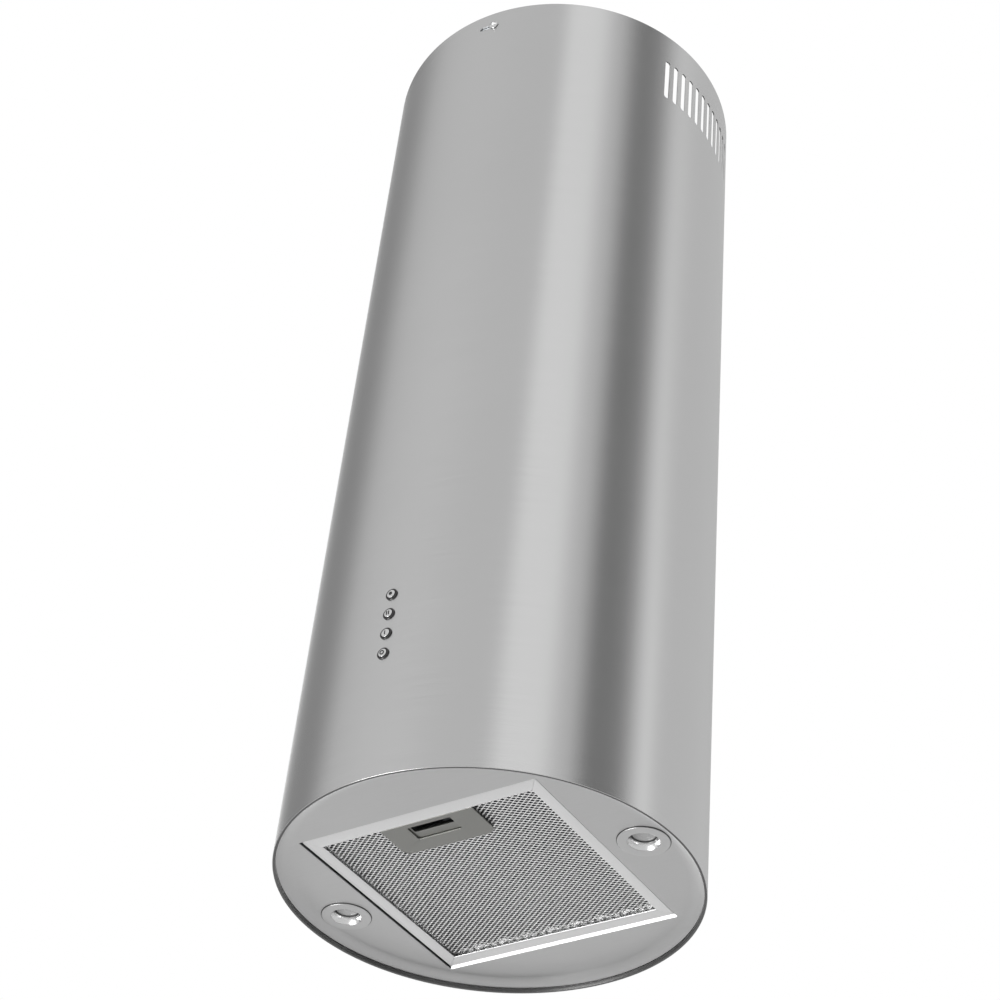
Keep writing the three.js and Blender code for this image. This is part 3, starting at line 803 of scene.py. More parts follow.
class Workshop:
    """Turns shapes into pieces on the frame."""

    def __init__(self, frame: Mapping[str, Any]) -> None:
        """Reads where the casing's rim is and builds what the pieces share."""
        self.frame = frame
        self.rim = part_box("casing_tube")[0].z
        self.to_frame = Matrix.Translation((0, 0, self.rim)) @ Matrix.Scale(MM, 4)
        self.trees = Trees()
        self.finishes = Finishes()
        self.materials: dict[str, bpy.types.Material] = {}

    def height(self, node: str) -> float:
        """Height in millimetres of a CAD node's middle above the rim."""
        low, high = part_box(node)
        return ((low.z + high.z) / 2 - self.rim) / MM

    def material(self, finish: Finish) -> bpy.types.Material:
        """The material of a finish, made once."""
        if finish.name not in self.materials:
            self.materials[finish.name] = finish.material()
        return self.materials[finish.name]

    def solid(self, name: str, shape: Shape, place: Matrix | None = None) -> bpy.types.Object:
        """Makes a clean object from a shape.

        Args:
            name: the object's name.
            shape: closed solids in millimetres.
            place: millimetres to metres, or None for heights above the rim.

        Returns:
            The object, with its faces pointing outwards.
        """
        matrix = self.to_frame if place is None else place
        mesh = bpy.data.meshes.new(name)
        mesh.from_pydata([matrix @ p for p in shape.points], [], shape.faces)
        made = bpy.data.objects.new(name, mesh)
        bpy.context.scene.collection.objects.link(made)
        self.clean(mesh)
        return made

    @staticmethod
    def clean(mesh: bpy.types.Mesh, flat: float = 0.0) -> None:
        """Merges doubled points, joins flat neighbours where `flat` degrees is set, and turns faces out."""
        work = bmesh.new()
        work.from_mesh(mesh)
        bmesh.ops.remove_doubles(work, verts=work.verts, dist=1e-6)
        bmesh.ops.dissolve_degenerate(work, edges=work.edges, dist=1e-7)
        bmesh.ops.delete(work, geom=[e for e in work.edges if not e.link_faces], context="EDGES")
        if flat:
            angle = math.radians(flat)
            bmesh.ops.dissolve_limit(work, angle_limit=angle, verts=work.verts, edges=work.edges)
        bmesh.ops.recalc_face_normals(work, faces=work.faces)
        work.to_mesh(mesh)
        work.free()

    @staticmethod
    def round_off(piece: bpy.types.Object, edge: Edge) -> None:
        """Rounds a piece's square edges and shades it smooth, with flat faces kept flat."""
        if edge.radius:
            bevel = piece.modifiers.new("edges", "BEVEL")
            bevel.width = edge.radius * MM
            bevel.segments = edge.segments
            bevel.limit_method = "ANGLE"
            bevel.angle_limit = math.radians(42)
            flatten(piece)
        piece.data.shade_smooth()
        piece.data.set_sharp_from_angle(angle=math.radians(edge.sharp))
        weighted = piece.modifiers.new("shading", "WEIGHTED_NORMAL")
        weighted.keep_sharp = True
        flatten(piece)

    def dress(self, piece: bpy.types.Object, finish: Finish, *nodes: str) -> bpy.types.Object:
        """Gives a finished piece its material and its place on the frame.

        Args:
            piece: the finished object.
            finish: its finish.
            nodes: the CAD nodes that it stands for, whose body it rides on.

        Returns:
            The piece.
        """
        piece.data.materials.clear()
        piece.data.materials.append(self.material(finish))
        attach(piece, self.frame["nodes"][nodes[0]]["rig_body"])
        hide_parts(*nodes)
        LOG.info("%s: %d faces for %s", piece.name, len(piece.data.polygons), ", ".join(nodes))
        return piece

    def make(
        self, name: str, shape: Shape, finish: Finish, edge: Edge, *nodes: str
    ) -> bpy.types.Object:
        """Makes, rounds off and dresses a piece in one go."""
        piece = self.solid(name, shape)
        self.round_off(piece, edge)
        return self.dress(piece, finish, *nodes)

    def refine(self, node: str, finish: Finish, edge: Edge = SHEET_EDGE) -> bpy.types.Object:
        """Makes a piece from a merged copy of a CAD node, with its edges rounded off."""
        made = bpy.data.objects.new(node + "_formed", self.frame["nodes"][node].data.copy())
        bpy.context.scene.collection.objects.link(made)
        self.clean(made.data, flat=0.5)
        self.round_off(made, edge)
        return self.dress(made, finish, node)

    def row_inputs(
        self, copied: bpy.types.Object, count: int, first: float, pitch: float, rise: float
    ) -> dict[str, Any]:
        """The inputs of a row of copies: angles in degrees and rise in millimetres."""
        return {
            "Copied": copied,
            "Count": count,
            "First azimuth": math.radians(first),
            "Pitch": math.radians(pitch),
            "Rise": rise * MM,
        }

    def pierce(
        self,
        wall: bpy.types.Object,
        tool: Shape,
        count: int = 1,
        first: float = 0.0,
        pitch: float = 0.0,
        rise: float = 0.0,
        place: Matrix | None = None,
    ) -> None:
        """Cuts a row of holes through a wall with copies of a tool that turn and rise round Z."""
        cutter = self.solid("cutter", tool, place)
        self.trees.perforate.run(wall, self.row_inputs(cutter, count, first, pitch, rise))
        bpy.data.objects.remove(cutter)


# ------------------------------------------------------------------ casing and bottom plate


@dataclass
class Casing:
    """The rolled tube with its hem, air vents, hanging slots and button holes."""

    radius: float
    height: float
    wall: float = 1.2
    hem: float = 3.7
    sides: int = 360
    vent_length: float = 56.5
    vent_width: float = 6.0
    vent_count: int = 12
    vent_pitch: float = 3.73
    vent_height: float = 860.3
    hanging_length: float = 21.0
    hanging_width: float = 5.2
    hanging_azimuth: float = 5.65
    hanging_height: float = 907.5
    button_hole: float = 4.9

    def section(self) -> list[Point]:
        """The wall's section, with the rim folded in and up into a hem."""
        inside, turn = self.radius - self.wall, 0.4
        fold = [
            *arc((self.radius - turn, turn), turn, 0, -90, 5),
            *arc((inside - self.wall + turn, turn), turn, -90, -180, 5),
        ]
        lip = arc((inside - self.wall / 2, self.hem - self.wall / 2), self.wall / 2, 180, 90, 4)
        return [(self.radius, self.height), *fold, *lip, (inside, self.hem), (inside, self.height)]

    def true_normals(self, mesh: bpy.types.Mesh) -> None:
        """Gives both walls exactly radial normals, so that holes leave no trace in the shading."""
        mesh.shade_smooth()
        mesh.set_sharp_from_angle(angle=math.radians(40))
        walls = ((self.radius * MM, 1), ((self.radius - self.wall) * MM, -1))
        normals = []
        for polygon in mesh.polygons:
            for corner in polygon.vertices:
                place = mesh.vertices[corner].co
                out = Vector((place.x, place.y, 0))
                side = [
                    sign for distance, sign in walls
                    if abs(out.length - distance) < 0.03 * MM
                    and sign * polygon.normal.dot(out) > 0.9 * out.length
                ]
                normals.append(out.normalized() * side[0] if side else Vector())
        mesh.normals_split_custom_set(normals)

    def build(self, shop: Workshop) -> None:
        """Makes the casing."""
        tube = shop.solid("casing", lathe(self.section(), self.sides))
        low, high = self.radius - 6, self.radius + 4
        vent = prism(slot_outline(self.vent_length, self.vent_width), low, high)
        fan = (self.vent_count - 1) / 2 * self.vent_pitch
        for side in (90, 270):
            tool = vent.under(outwards(0, self.vent_height))
            shop.pierce(tube, tool, self.vent_count, side - fan, self.vent_pitch)
        slot = prism(slot_outline(self.hanging_length, self.hanging_width), low, high).turned(90)
        tool = slot.under(outwards(0, self.hanging_height))
        shop.pierce(tube, tool, 2, self.hanging_azimuth, 180)
        heights = [shop.height(f"button_cap_{i}") for i in (1, 2)]
        hole = prism(circle(self.button_hole, 40), low, high).under(outwards(0, heights[0]))
        shop.pierce(tube, hole, 4, rise=heights[1] - heights[0])
        self.true_normals(tube.data)
        shop.dress(tube, shop.finishes.casing, "casing_tube")
        # The inside of the folded hem takes the near-black hem finish: painted shade along the rim.
        tube.data.materials.append(shop.material(shop.finishes.hem))
        for polygon in tube.data.polygons:
            place = polygon.center
            low = place.z < shop.rim + self.hem * MM
            folded = math.hypot(place.x, place.y) < (self.radius - self.wall) * MM
            polygon.material_index = int(low and folded)


@dataclass
class BottomPlate:
    """The dished plate in the rim, with the filter's opening and two lamp holes."""

    face: float = 8.0
    sheet: float = 1.0
    flat_radius: float = 160.0
    bend: float = 24.0
    edge: float = 4.2
    radius: float = 173.0
    top: float = 30.0
    opening: float = 110.7
    rear: float = 112.4
    flange_top: float = 13.0
    lamp_x: float = 142.0
    lamp_hole: float = 19.6
    sides: int = 180

    def shape(self) -> Shape:
        """The dish and the two folded flanges of its opening."""
        centre = (self.flat_radius, self.face - self.bend)
        sheet_top = self.face + self.sheet
        rim = [
            *arc(centre, self.bend, 90, 60, 14),
            *arc((self.radius - 0.4, self.edge + 0.5), 0.4, -60, 0, 4),
            (self.radius, self.top),
            (self.radius - self.sheet, self.top),
            *arc(centre, self.bend + self.sheet, 61.3, 90, 14),
        ]
        half = self.opening
        holes = [rectangle((-half, -half), (half, self.rear), 0.8)]
        holes += [circle(self.lamp_hole, 64, (x, 0.0)) for x in (-self.lamp_x, self.lamp_x)]
        floor = prism(circle(centre[0], self.sides), self.face, sheet_top, holes, outer_wall=False)
        shape = floor + lathe(rim, self.sides, closed=False)
        low = (5 - half, -half - self.sheet, self.face + 0.1)
        front = block(low, (half - 5, -half - 0.02, self.flange_top))
        slope = [
            (self.rear + 0.02, self.face + 0.02), (self.rear + 1.4, self.face + 0.6),
            (110.9, 11.4), (110.9, self.flange_top), (109.9, self.flange_top), (109.9, 11),
        ]
        return shape + front + prism(slope, 0.2 - half, half - 0.2).under(ALONG_X)

    def build(self, shop: Workshop) -> None:
        """Makes the plate and the four brackets behind it."""
        shop.make("dished_plate", self.shape(), shop.finishes.plate, SHEET_EDGE, "bottom_plate")
        for number in range(1, 5):
            shop.refine(f"plate_bracket_{number}", shop.finishes.zinc)


# ------------------------------------------------------------------ lamps and buttons


@dataclass
class Lamps:
    """Two round lamps: a flat trim ring, a polished recess, a frosted lens and the lamp body."""

    ring_radius: float = 21.0
    mouth: float = 13.0
    throat: float = 10.2
    face: float = 6.9
    seat: float = 7.7
    depth: float = 13.4
    sides: int = 96

    def trim_section(self) -> list[Point]:
        """The flat ring and the sleeve that passes the plate."""
        edge = arc((self.ring_radius - 0.5, self.face + 0.5), 0.5, -90, 0, 5)
        mouth = arc((self.mouth + 0.35, self.face + 0.35), 0.35, 180, 270, 5)
        return [
            *mouth, *edge, (self.ring_radius, self.seat), (19.2, self.seat), (19.2, 18),
            (18.4, 18), (18.4, self.seat + 0.1), (self.mouth, self.seat + 0.1),
        ]

    def cup_section(self) -> list[Point]:
        """The polished cup between the ring and the lens, slightly bellied."""
        inner = [
            (self.mouth - 0.05 - (self.mouth - self.throat) * math.sin(t * math.pi / 2) * 0.98,
             self.face + 0.5 + (self.depth - self.face - 0.5) * t)
            for t in (i / 10 for i in range(11))
        ]
        wall = 0.6
        return [*inner, *[(radius + wall, height + 0.05) for radius, height in reversed(inner[3:])],
                (self.mouth - 0.02, self.seat + 0.3)]

    def lens_section(self) -> list[Point]:
        """The lens, domed a little towards the room, with three pressed rings."""
        points = [(0.0, 13.55)]
        for i in range(1, 40):
            radius = 11.0 * i / 40
            ripple = 0.05 * math.cos(radius * 2.2)
            points.append((radius, 13.6 + 0.10 * (radius / 11) ** 2 + ripple))
        return [*points, (11.0, 13.75), (11.0, 15.2), (0.0, 15.2)]

    def gap_shade_rings(self) -> Shape:
        """Black rings under the ring's edge and round the lens: painted shade for the gaps there."""
        edge, throat = self.ring_radius, self.throat
        under = rectangle((edge - 1.5, self.seat - 0.1), (edge + 0.45, 7.98))
        inner = [(throat - 1.0, 13.2), (throat + 0.1, 13.0), (throat + 0.1, 13.5), (throat - 1.0, 13.5)]
        return lathe(under, self.sides) + lathe(inner, self.sides)

    def body_section(self) -> list[Point]:
        """The finned lamp body above the plate."""
        outline = [(0.0, 15.5), (18.0, 15.5), (18.0, 18.4)]
        for level in (18.4, 22.2, 26.0):
            outline += [(20.0, level), (20.0, level + 2.2), (17.0, level + 2.2), (17.0, level + 3.8)]
        return [*outline[:-1], (17.0, 29.8), (20.0, 29.8), (20.0, 33.0), (0.0, 33.0)]

    def build(self, shop: Workshop) -> None:
        """Makes both lamps."""
        for side in ("left", "right"):
            low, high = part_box(f"lamp_ring_{side}")
            x = (low.x + high.x) / 2 / MM
            parts = (
                ("trim", self.trim_section(), shop.finishes.lamp_trim, "ring"),
                ("reflector", self.cup_section(), shop.finishes.reflector, "ring"),
                ("glass", self.lens_section(), shop.finishes.lens, "lens"),
                ("heat_sink", self.body_section(), shop.finishes.frame_aluminium, "body"),
            )
            for name, section, finish, node in parts:
                shape = lathe(section, self.sides).shifted(x=x)
                shop.make(f"lamp_{name}_{side}", shape, finish, NO_EDGE, f"lamp_{node}_{side}")
            # Black rings in the gaps at the trim's edge and round the lens: painted shade.
            gap_shade = self.gap_shade_rings().shifted(x=x)
            shop.make(f"lamp_seal_{side}", gap_shade, shop.finishes.black, NO_EDGE, f"lamp_ring_{side}")


class Mark(Enum):
    """What is inlaid on each button, from the lowest up."""

    OFF = 1
    LOW = 2
    HIGH = 3
    LIGHT = 4


@dataclass
class PushButtons:
    """The column of four push buttons and the switch unit behind them."""

    surface: float
    cap_radius: float = 3.75
    bezel_radius: float = 5.35
    sides: int = 48

    def cap_section(self) -> list[Point]:
        """A cap with a softly domed face."""
        rim, crown = self.surface + 1.4, self.surface + 2.35
        dome = [
            (self.cap_radius - 0.45 - (self.cap_radius - 0.45) * i / 8,
             rim + 0.45 + (crown - rim - 0.45) * math.sin(math.pi / 2 * i / 8))
            for i in range(1, 9)
        ]
        edge = arc((self.cap_radius - 0.45, rim), 0.45, 0, 90, 5)
        stem = self.surface - 4
        return [(0, 167.6), (2.4, 167.6), (2.4, stem), (self.cap_radius, stem), *edge, *dome]

    def bezel_section(self) -> list[Point]:
        """The bezel's flange and the sleeve through the casing."""
        seat = self.surface + 0.3
        edge = arc((self.bezel_radius - 0.5, seat + 0.5), 0.5, 0, 90, 5)
        inner = arc((4.1 + 0.25, seat + 0.75), 0.25, 90, 180, 4)
        return [(4.1, 168.5), (4.6, 168.5), (4.6, seat), (self.bezel_radius, seat), *edge, *inner]

    def mark(self, kind: Mark) -> Shape:
        """The inlay on a cap's face: a ring, one bar, two bars or a round dot."""
        low, high = self.surface + 1.6, self.surface + 2.42
        if kind is Mark.OFF:
            return prism(circle(2.1, 32), low, high, [circle(1.2, 32)])
        if kind is Mark.LIGHT:
            return prism(circle(1.6, 32), low, high)
        bars = [0.0] if kind is Mark.LOW else [-0.95, 0.95]
        shape = Shape()
        for x in bars:
            shape += prism(slot_outline(3.8, 1.0), low, high).shifted(x=x)
        return shape

    def build(self, shop: Workshop) -> None:
        """Makes the buttons, then the switch unit."""
        for kind in Mark:
            cap, bezel = f"button_cap_{kind.value}", f"button_bezel_{kind.value}"
            stand = outwards(0, shop.height(cap))
            parts = (
                (f"push_cap_{kind.value}", lathe(self.cap_section(), self.sides), shop.finishes.chrome, cap),
                (f"push_mark_{kind.value}", self.mark(kind), shop.finishes.black, cap),
                (f"push_bezel_{kind.value}", lathe(self.bezel_section(), self.sides),
                 shop.finishes.dark_chrome, bezel),
            )
            for name, shape, finish, node in parts:
                shop.make(name, shape.under(stand), finish, NO_EDGE, node)
        shop.refine("switch_block", shop.finishes.black, CASTING_EDGE)
        shop.refine("switch_board", shop.finishes.board)
        shop.refine("switch_bracket", shop.finishes.zinc)


# ------------------------------------------------------------------ grease filter


@dataclass(frozen=True)
class Sheet:
    """A sheet of expanded metal: its height, its strands and the two ways of its diamonds.

    The strands are turned out of the sheet by `lean` degrees.
    """

    name: str
    height: float
    strand: float
    gauge: float
    lean: float
    long: float
    short: float


@dataclass
class GreaseFilter:
    """The mitred frame, two layers of expanded metal, and the sprung latch."""

    half: float = 109.2
    face: float = 9.3
    depth: float = 10.0
    bar: float = 11.0
    front_bar: float = 14.0
    mitre_gap: float = 0.07
    mesh_bottom: float = 10.8
    mesh_top: float = 17.0
    fine: Sheet = Sheet("front_mesh", 11.9, 1.05, 0.4, 8.0, 5.95, 4.29)
    coarse: Sheet = Sheet("back_mesh", 16.2, 1.4, 0.4, 12.0, 8.0, 5.4)
    latch_half: float = 43.0
    latch_front: float = -94.9
    latch_rear: float = -57.0
    latch_travel: float = 6.0
    pocket: tuple[float, float, float] = (20.5, -90.0, -72.5)

    def bar_section(self, chamfer: float) -> list[Point]:
        """A side bar's folded section as (depth from the outer edge, height)."""
        groove = self.bar - 4.3
        low, high = self.mesh_bottom - 0.3, self.mesh_top + 0.3
        lip = self.face + 0.8
        return [
            (0, self.face + chamfer), (chamfer, self.face), (self.bar - 0.9, self.face), (self.bar, lip),
            (self.bar, low), (groove, low), (groove, high), (self.bar, high),
            (self.bar, self.face + self.depth), (0, self.face + self.depth),
        ]

    def mitred(self, width: float, near: float, far: float) -> Shape:
        """A bar along X at the frame's front edge.

        Args:
            width: how wide its face is.
            near: how much narrower it gets at its -X end, per unit of depth.
            far: the same at its +X end.

        Returns:
            The bar, cut at its two mitres.
        """
        chamfer = 1.1 if width > self.bar else 0.3
        section = [(d * width / self.bar, h) for d, h in self.bar_section(chamfer)]
        count = len(section)
        gap = self.mitre_gap
        left = [(gap - self.half + d * near, d - self.half, h) for d, h in section]
        right = [(self.half - gap - d * far, d - self.half, h) for d, h in section]
        faces = [(i, (i + 1) % count, (i + 1) % count + count, i + count) for i in range(count)]
        ends = [tuple(range(count)), tuple(range(count, 2 * count))]
        return Shape(left + right, faces + ends)

    def frame_shape(self) -> Shape:
        """Four bars with visible mitres."""
        to_front = self.front_bar / self.bar
        front = self.mitred(self.front_bar, 1 / to_front, 1 / to_front)
        right = self.mitred(self.bar, to_front, 1.0).turned(90)
        left = self.mitred(self.bar, 1.0, to_front).turned(-90)
        return front + right + left + self.mitred(self.bar, 1.0, 1.0).turned(180)

    def knuckle(self, sheet: Sheet) -> Shape:
        """One knuckle of a sheet with the two strands that leave it towards +X."""
        turn = Matrix.Rotation(math.radians(sheet.lean), 3, "X")
        across = turn @ Vector((0, sheet.strand / 2, 0))
        thick = turn @ Vector((0, 0, sheet.gauge / 2))
        bond = sheet.long * 0.11
        shape = Shape()
        for side in (1, -1):
            start = side * across
            end = Vector((sheet.long / 2, side * sheet.short / 2, 0)) - start
            stations = [start, start + Vector((bond, 0, 0)), end - Vector((bond, 0, 0)), end]
            points = [
                station + u * across + v * thick
                for station in stations
                for u, v in ((-1, -1), (1, -1), (1, 1), (-1, 1))
            ]
            faces = [(0, 1, 2, 3), (12, 13, 14, 15)]
            for ring in (0, 4, 8):
                faces += [
                    (ring + i, ring + (i + 1) % 4, ring + (i + 1) % 4 + 4, ring + i + 4)
                    for i in range(4)
                ]
            shape += Shape(points, faces)
        return shape

    def layer(self, shop: Workshop, sheet: Sheet, finish: Metal) -> None:
        """Lays one sheet of expanded metal across the frame."""
        reach = self.half - self.bar + 3.4
        front = self.front_bar - self.half - 3.4
        knuckle = shop.solid("knuckle", self.knuckle(sheet), Matrix.Scale(MM, 4))
        piece = shop.solid(sheet.name, Shape())
        corner = Vector((-reach + sheet.long * 0.2, front + sheet.short * 0.6, sheet.height)) * MM
        shop.trees.expanded_metal.run(piece, {
            "Knuckle": knuckle,
            "Columns": int(2 * reach / sheet.long),
            "Rows": int((reach - front) / sheet.short * 2) - 1,
            "Long way": sheet.long * MM,
            "Short way": sheet.short * MM,
            "Corner": corner + Vector((0, 0, shop.rim)),
            "Clear half width": (self.latch_half - 7.0) * MM,
            "Clear rear": (self.latch_rear + 0.8) * MM,
            "Material": shop.material(finish),
        })
        bpy.data.objects.remove(knuckle)
        shop.dress(piece, finish, "filter_mesh")

    def build_frame(self, shop: Workshop) -> None:
        """Makes the frame with the latch's notch and the hooks on its rear edge."""
        hooks = Shape()
        for x in (-70.0, 70.0):
            hooks += block((x - 12, self.half - 4, 14.6), (x + 12, self.half + 5.1, 16.4))
        frame = shop.solid("mitred_frame", self.frame_shape())
        notch = block((-16.3, -self.half - 2, 13.2), (16.3, -self.half + 20, 15.9))
        shop.pierce(frame, notch)
        shop.clean(frame.data)
        shop.round_off(frame, Edge(0.12))
        shop.dress(frame, shop.finishes.frame_aluminium, "filter_frame")
        shop.make("frame_hooks", hooks, shop.finishes.frame_aluminium, SHEET_EDGE, "filter_frame")

    def build_latch(self, shop: Workshop) -> None:
        """Makes the latch plate, its slider and its grip."""
        finish = shop.finishes.latch
        half, front, rear, cut = self.latch_half, self.latch_front, self.latch_rear, 5.0
        outline = [
            (-half, front), (half, front), (half, rear - cut), (half - cut, rear),
            (cut - half, rear), (-half, rear - cut),
        ]
        width, near, far = self.pocket
        hole = rectangle((-width, near), (width, far), 2.0)
        plate = prism(outline, 9.9, 11.1, [hole])
        shop.make("pressed_latch_plate", plate, finish, Edge(0.4, 3), "latch_plate")
        finger = rectangle((-18.5, -90.0), (18.5, -81.0), 1.5)
        slider = prism(rectangle((-24, -93), (24, -68), 1.0), 11.4, 13.0, [finger])
        grip = prism(rectangle((-18.4, -80.9), (18.4, -73.1), 0.8), 11.45, 14.8)
        riser = block((-15, -93, 11.6), (15, -90.6, 15.0))
        tongue = block((-15, -114.3, 13.6), (15, -90.7, 15.2), 1.2)
        shop.make("latch_bar", slider + riser + tongue, finish, Edge(0.3), "latch_slider")
        # The grip takes the lighter grip finish: a painted highlight on the slider's metal.
        shop.make("latch_grip", grip, shop.finishes.grip, Edge(0.7, 3), "latch_slider")

    def build_spring(self, shop: Workshop) -> None:
        """Winds the latch's return spring as one coil of fixed length."""
        low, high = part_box("latch_spring")
        spring = shop.solid("return_spring", Shape())
        length = high.y - low.y
        wire = 0.3 * MM
        shop.trees.coil.run(spring, {
            "Turns": 5.0,
            "Radius": 1.35 * MM,
            "Height": length - 2 * wire,
            "Wire": wire,
            "Material": shop.material(shop.finishes.spring),
        })
        middle = (low + high) / 2
        lie = Matrix.Rotation(-math.pi / 2, 4, "X")
        spring.data.transform(Matrix.Translation((middle.x, low.y + wire, middle.z)) @ lie)
        spring.data.shade_smooth()
        shop.dress(spring, shop.finishes.spring, "latch_spring")
        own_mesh(spring)

    def build(self, shop: Workshop) -> None:
        """Makes the whole filter."""
        self.build_frame(shop)
        self.layer(shop, self.fine, shop.finishes.mesh_aluminium)
        # The back layer is near-black: painted shade behind the front mesh.
        self.layer(shop, self.coarse, shop.finishes.backing_mesh)
        self.build_latch(shop)
        self.build_spring(shop)


# ------------------------------------------------------------------ hanging frame


@dataclass
class HangingFrame:
    """The ceiling bracket, four uprights, two hanging screws and the motor box they carry."""

    seat: float
    screw_azimuth: float = 7.4
    head: float = 4.75
    shank: float = 2.2
    box_half: float = 118.0
    box_bottom: float = 11.2
    box_top: float = 340.0
    box_sheet: float = 1.2
    duct_hole: float = 74.6
    gland_hole: float = 7.2
    gland_place: Point = GLAND_PLACE

    def screw(self) -> Shape:
        """A pan-head screw, its axis along Z."""
        crown = arc((0.0, self.seat - 2.2), 4.8, 60, 90, 6)
        head = [(self.head, self.seat + 0.9), (self.head - 0.35, self.seat + 1.5), *crown[1:]]
        shank = [(0, 163), (self.shank, 163), (self.shank, self.seat), (self.head, self.seat)]
        return lathe([*shank, *head], 40)

    def build_screws(self, shop: Workshop) -> None:
        """Makes both hanging screws, each with a cross recess."""
        quarter = [(0.45, 2.5), (0.45, 0.45), (2.5, 0.45)]
        cross = [(x, y) for x, y in quarter] + [(x, -y) for x, y in reversed(quarter)]
        cross += [(-x, -y) for x, y in quarter] + [(-x, y) for x, y in reversed(quarter)]
        recess = prism(cross[::-1], self.seat + 1.3, self.seat + 6)
        for side, turn in (("front", 0.0), ("rear", 180.0)):
            made = shop.solid(f"pan_screw_{side}", self.screw(), Matrix.Scale(MM, 4))
            shop.pierce(made, recess, 1, place=Matrix.Scale(MM, 4))
            node = f"hanging_screw_{side}"
            stand = outwards(self.screw_azimuth + turn, shop.height(node))
            made.data.transform(shop.to_frame @ stand @ Matrix.Scale(1 / MM, 4))
            shop.clean(made.data)
            shop.round_off(made, NO_EDGE)
            shop.dress(made, shop.finishes.chrome, node)
            strip = self.spacer(self.screw_azimuth + turn, shop.height(node))
            shop.make(f"slot_spacer_{side}", strip, shop.finishes.zinc, NO_EDGE, "ceiling_bracket")

    def spacer(self, azimuth: float, height: float) -> Shape:
        """The curved strip between a bracket's tab and the casing, with the screw's hole in it."""
        near, far = self.seat - 3.5, self.seat - 1.9
        shape = prism(slot_outline(44.0, 15.0), near - 3, far, [circle(2.6, 32)]).turned(90)
        bent = []
        for point in shape.points:
            layer = far if point.z > near else near
            bent.append((point.x, point.y, math.sqrt(layer**2 - point.x**2)))
        return Shape(bent, shape.faces).under(outwards(azimuth, height))

    def box_shape(self) -> Shape:
        """The motor box: a folded skirt under a lid with two holes."""
        half, sheet = self.box_half, self.box_sheet
        outline = rectangle((-half, -half), (half, half), 2.4)
        inner = rectangle((sheet - half, sheet - half), (half - sheet, half - sheet), 1.4)
        skirt = prism(outline, self.box_bottom, self.box_top - sheet - 0.02, [inner])
        holes = [circle(self.duct_hole, 96), circle(self.gland_hole, 32, self.gland_place)]
        return skirt + prism(outline, self.box_top - sheet, self.box_top, holes)

    def rivets(self, shop: Workshop) -> None:
        """Sets the blind rivets along the motor box's corners."""
        head = lathe([(0, -0.4), (2.4, -0.4), (2.4, 0.1), *arc((1.2, 0.1), 1.2, 0, 90, 4), (0, 1.3)], 20)
        rivet = shop.solid("rivet", head, Matrix.Scale(MM, 4))
        half = self.box_half - 14
        places, turns = [], []
        for number in range(4):
            quarter = Matrix.Rotation(number * math.pi / 2, 4, "Z")
            for x in (-half, half):
                for height in (60.0, 150.0, 240.0, 320.0):
                    places.append(quarter @ Vector((x, -self.box_half, height)))
                    turns.append((math.pi / 2, 0, number * math.pi / 2))
        host = shop.solid("box_rivets", Shape(places))
        turn = host.data.attributes.new("turn", "FLOAT_VECTOR", "POINT")
        turn.data.foreach_set("vector", [number for euler in turns for number in euler])
        shop.trees.fasteners.run(host, {"Copied": rivet, "Material": shop.material(shop.finishes.chrome)})
        bpy.data.objects.remove(rivet)
        host.data.shade_smooth()
        host.data.set_sharp_from_angle(angle=math.radians(50))
        shop.dress(host, shop.finishes.frame_aluminium, "motor_box")

    def build(self, shop: Workshop) -> None:
        """Makes the hanging frame."""
        shop.refine("ceiling_bracket", shop.finishes.zinc, Edge(0.4))
        for corner in ("front_left", "front_right", "rear_left", "rear_right"):
            shop.refine(f"upright_{corner}", shop.finishes.zinc, Edge(0.4))
        self.build_screws(shop)
        shop.make("folded_motor_box", self.box_shape(), shop.finishes.zinc, SHEET_EDGE, "motor_box")
        self.rivets(shop)


# ------------------------------------------------------------------ blower


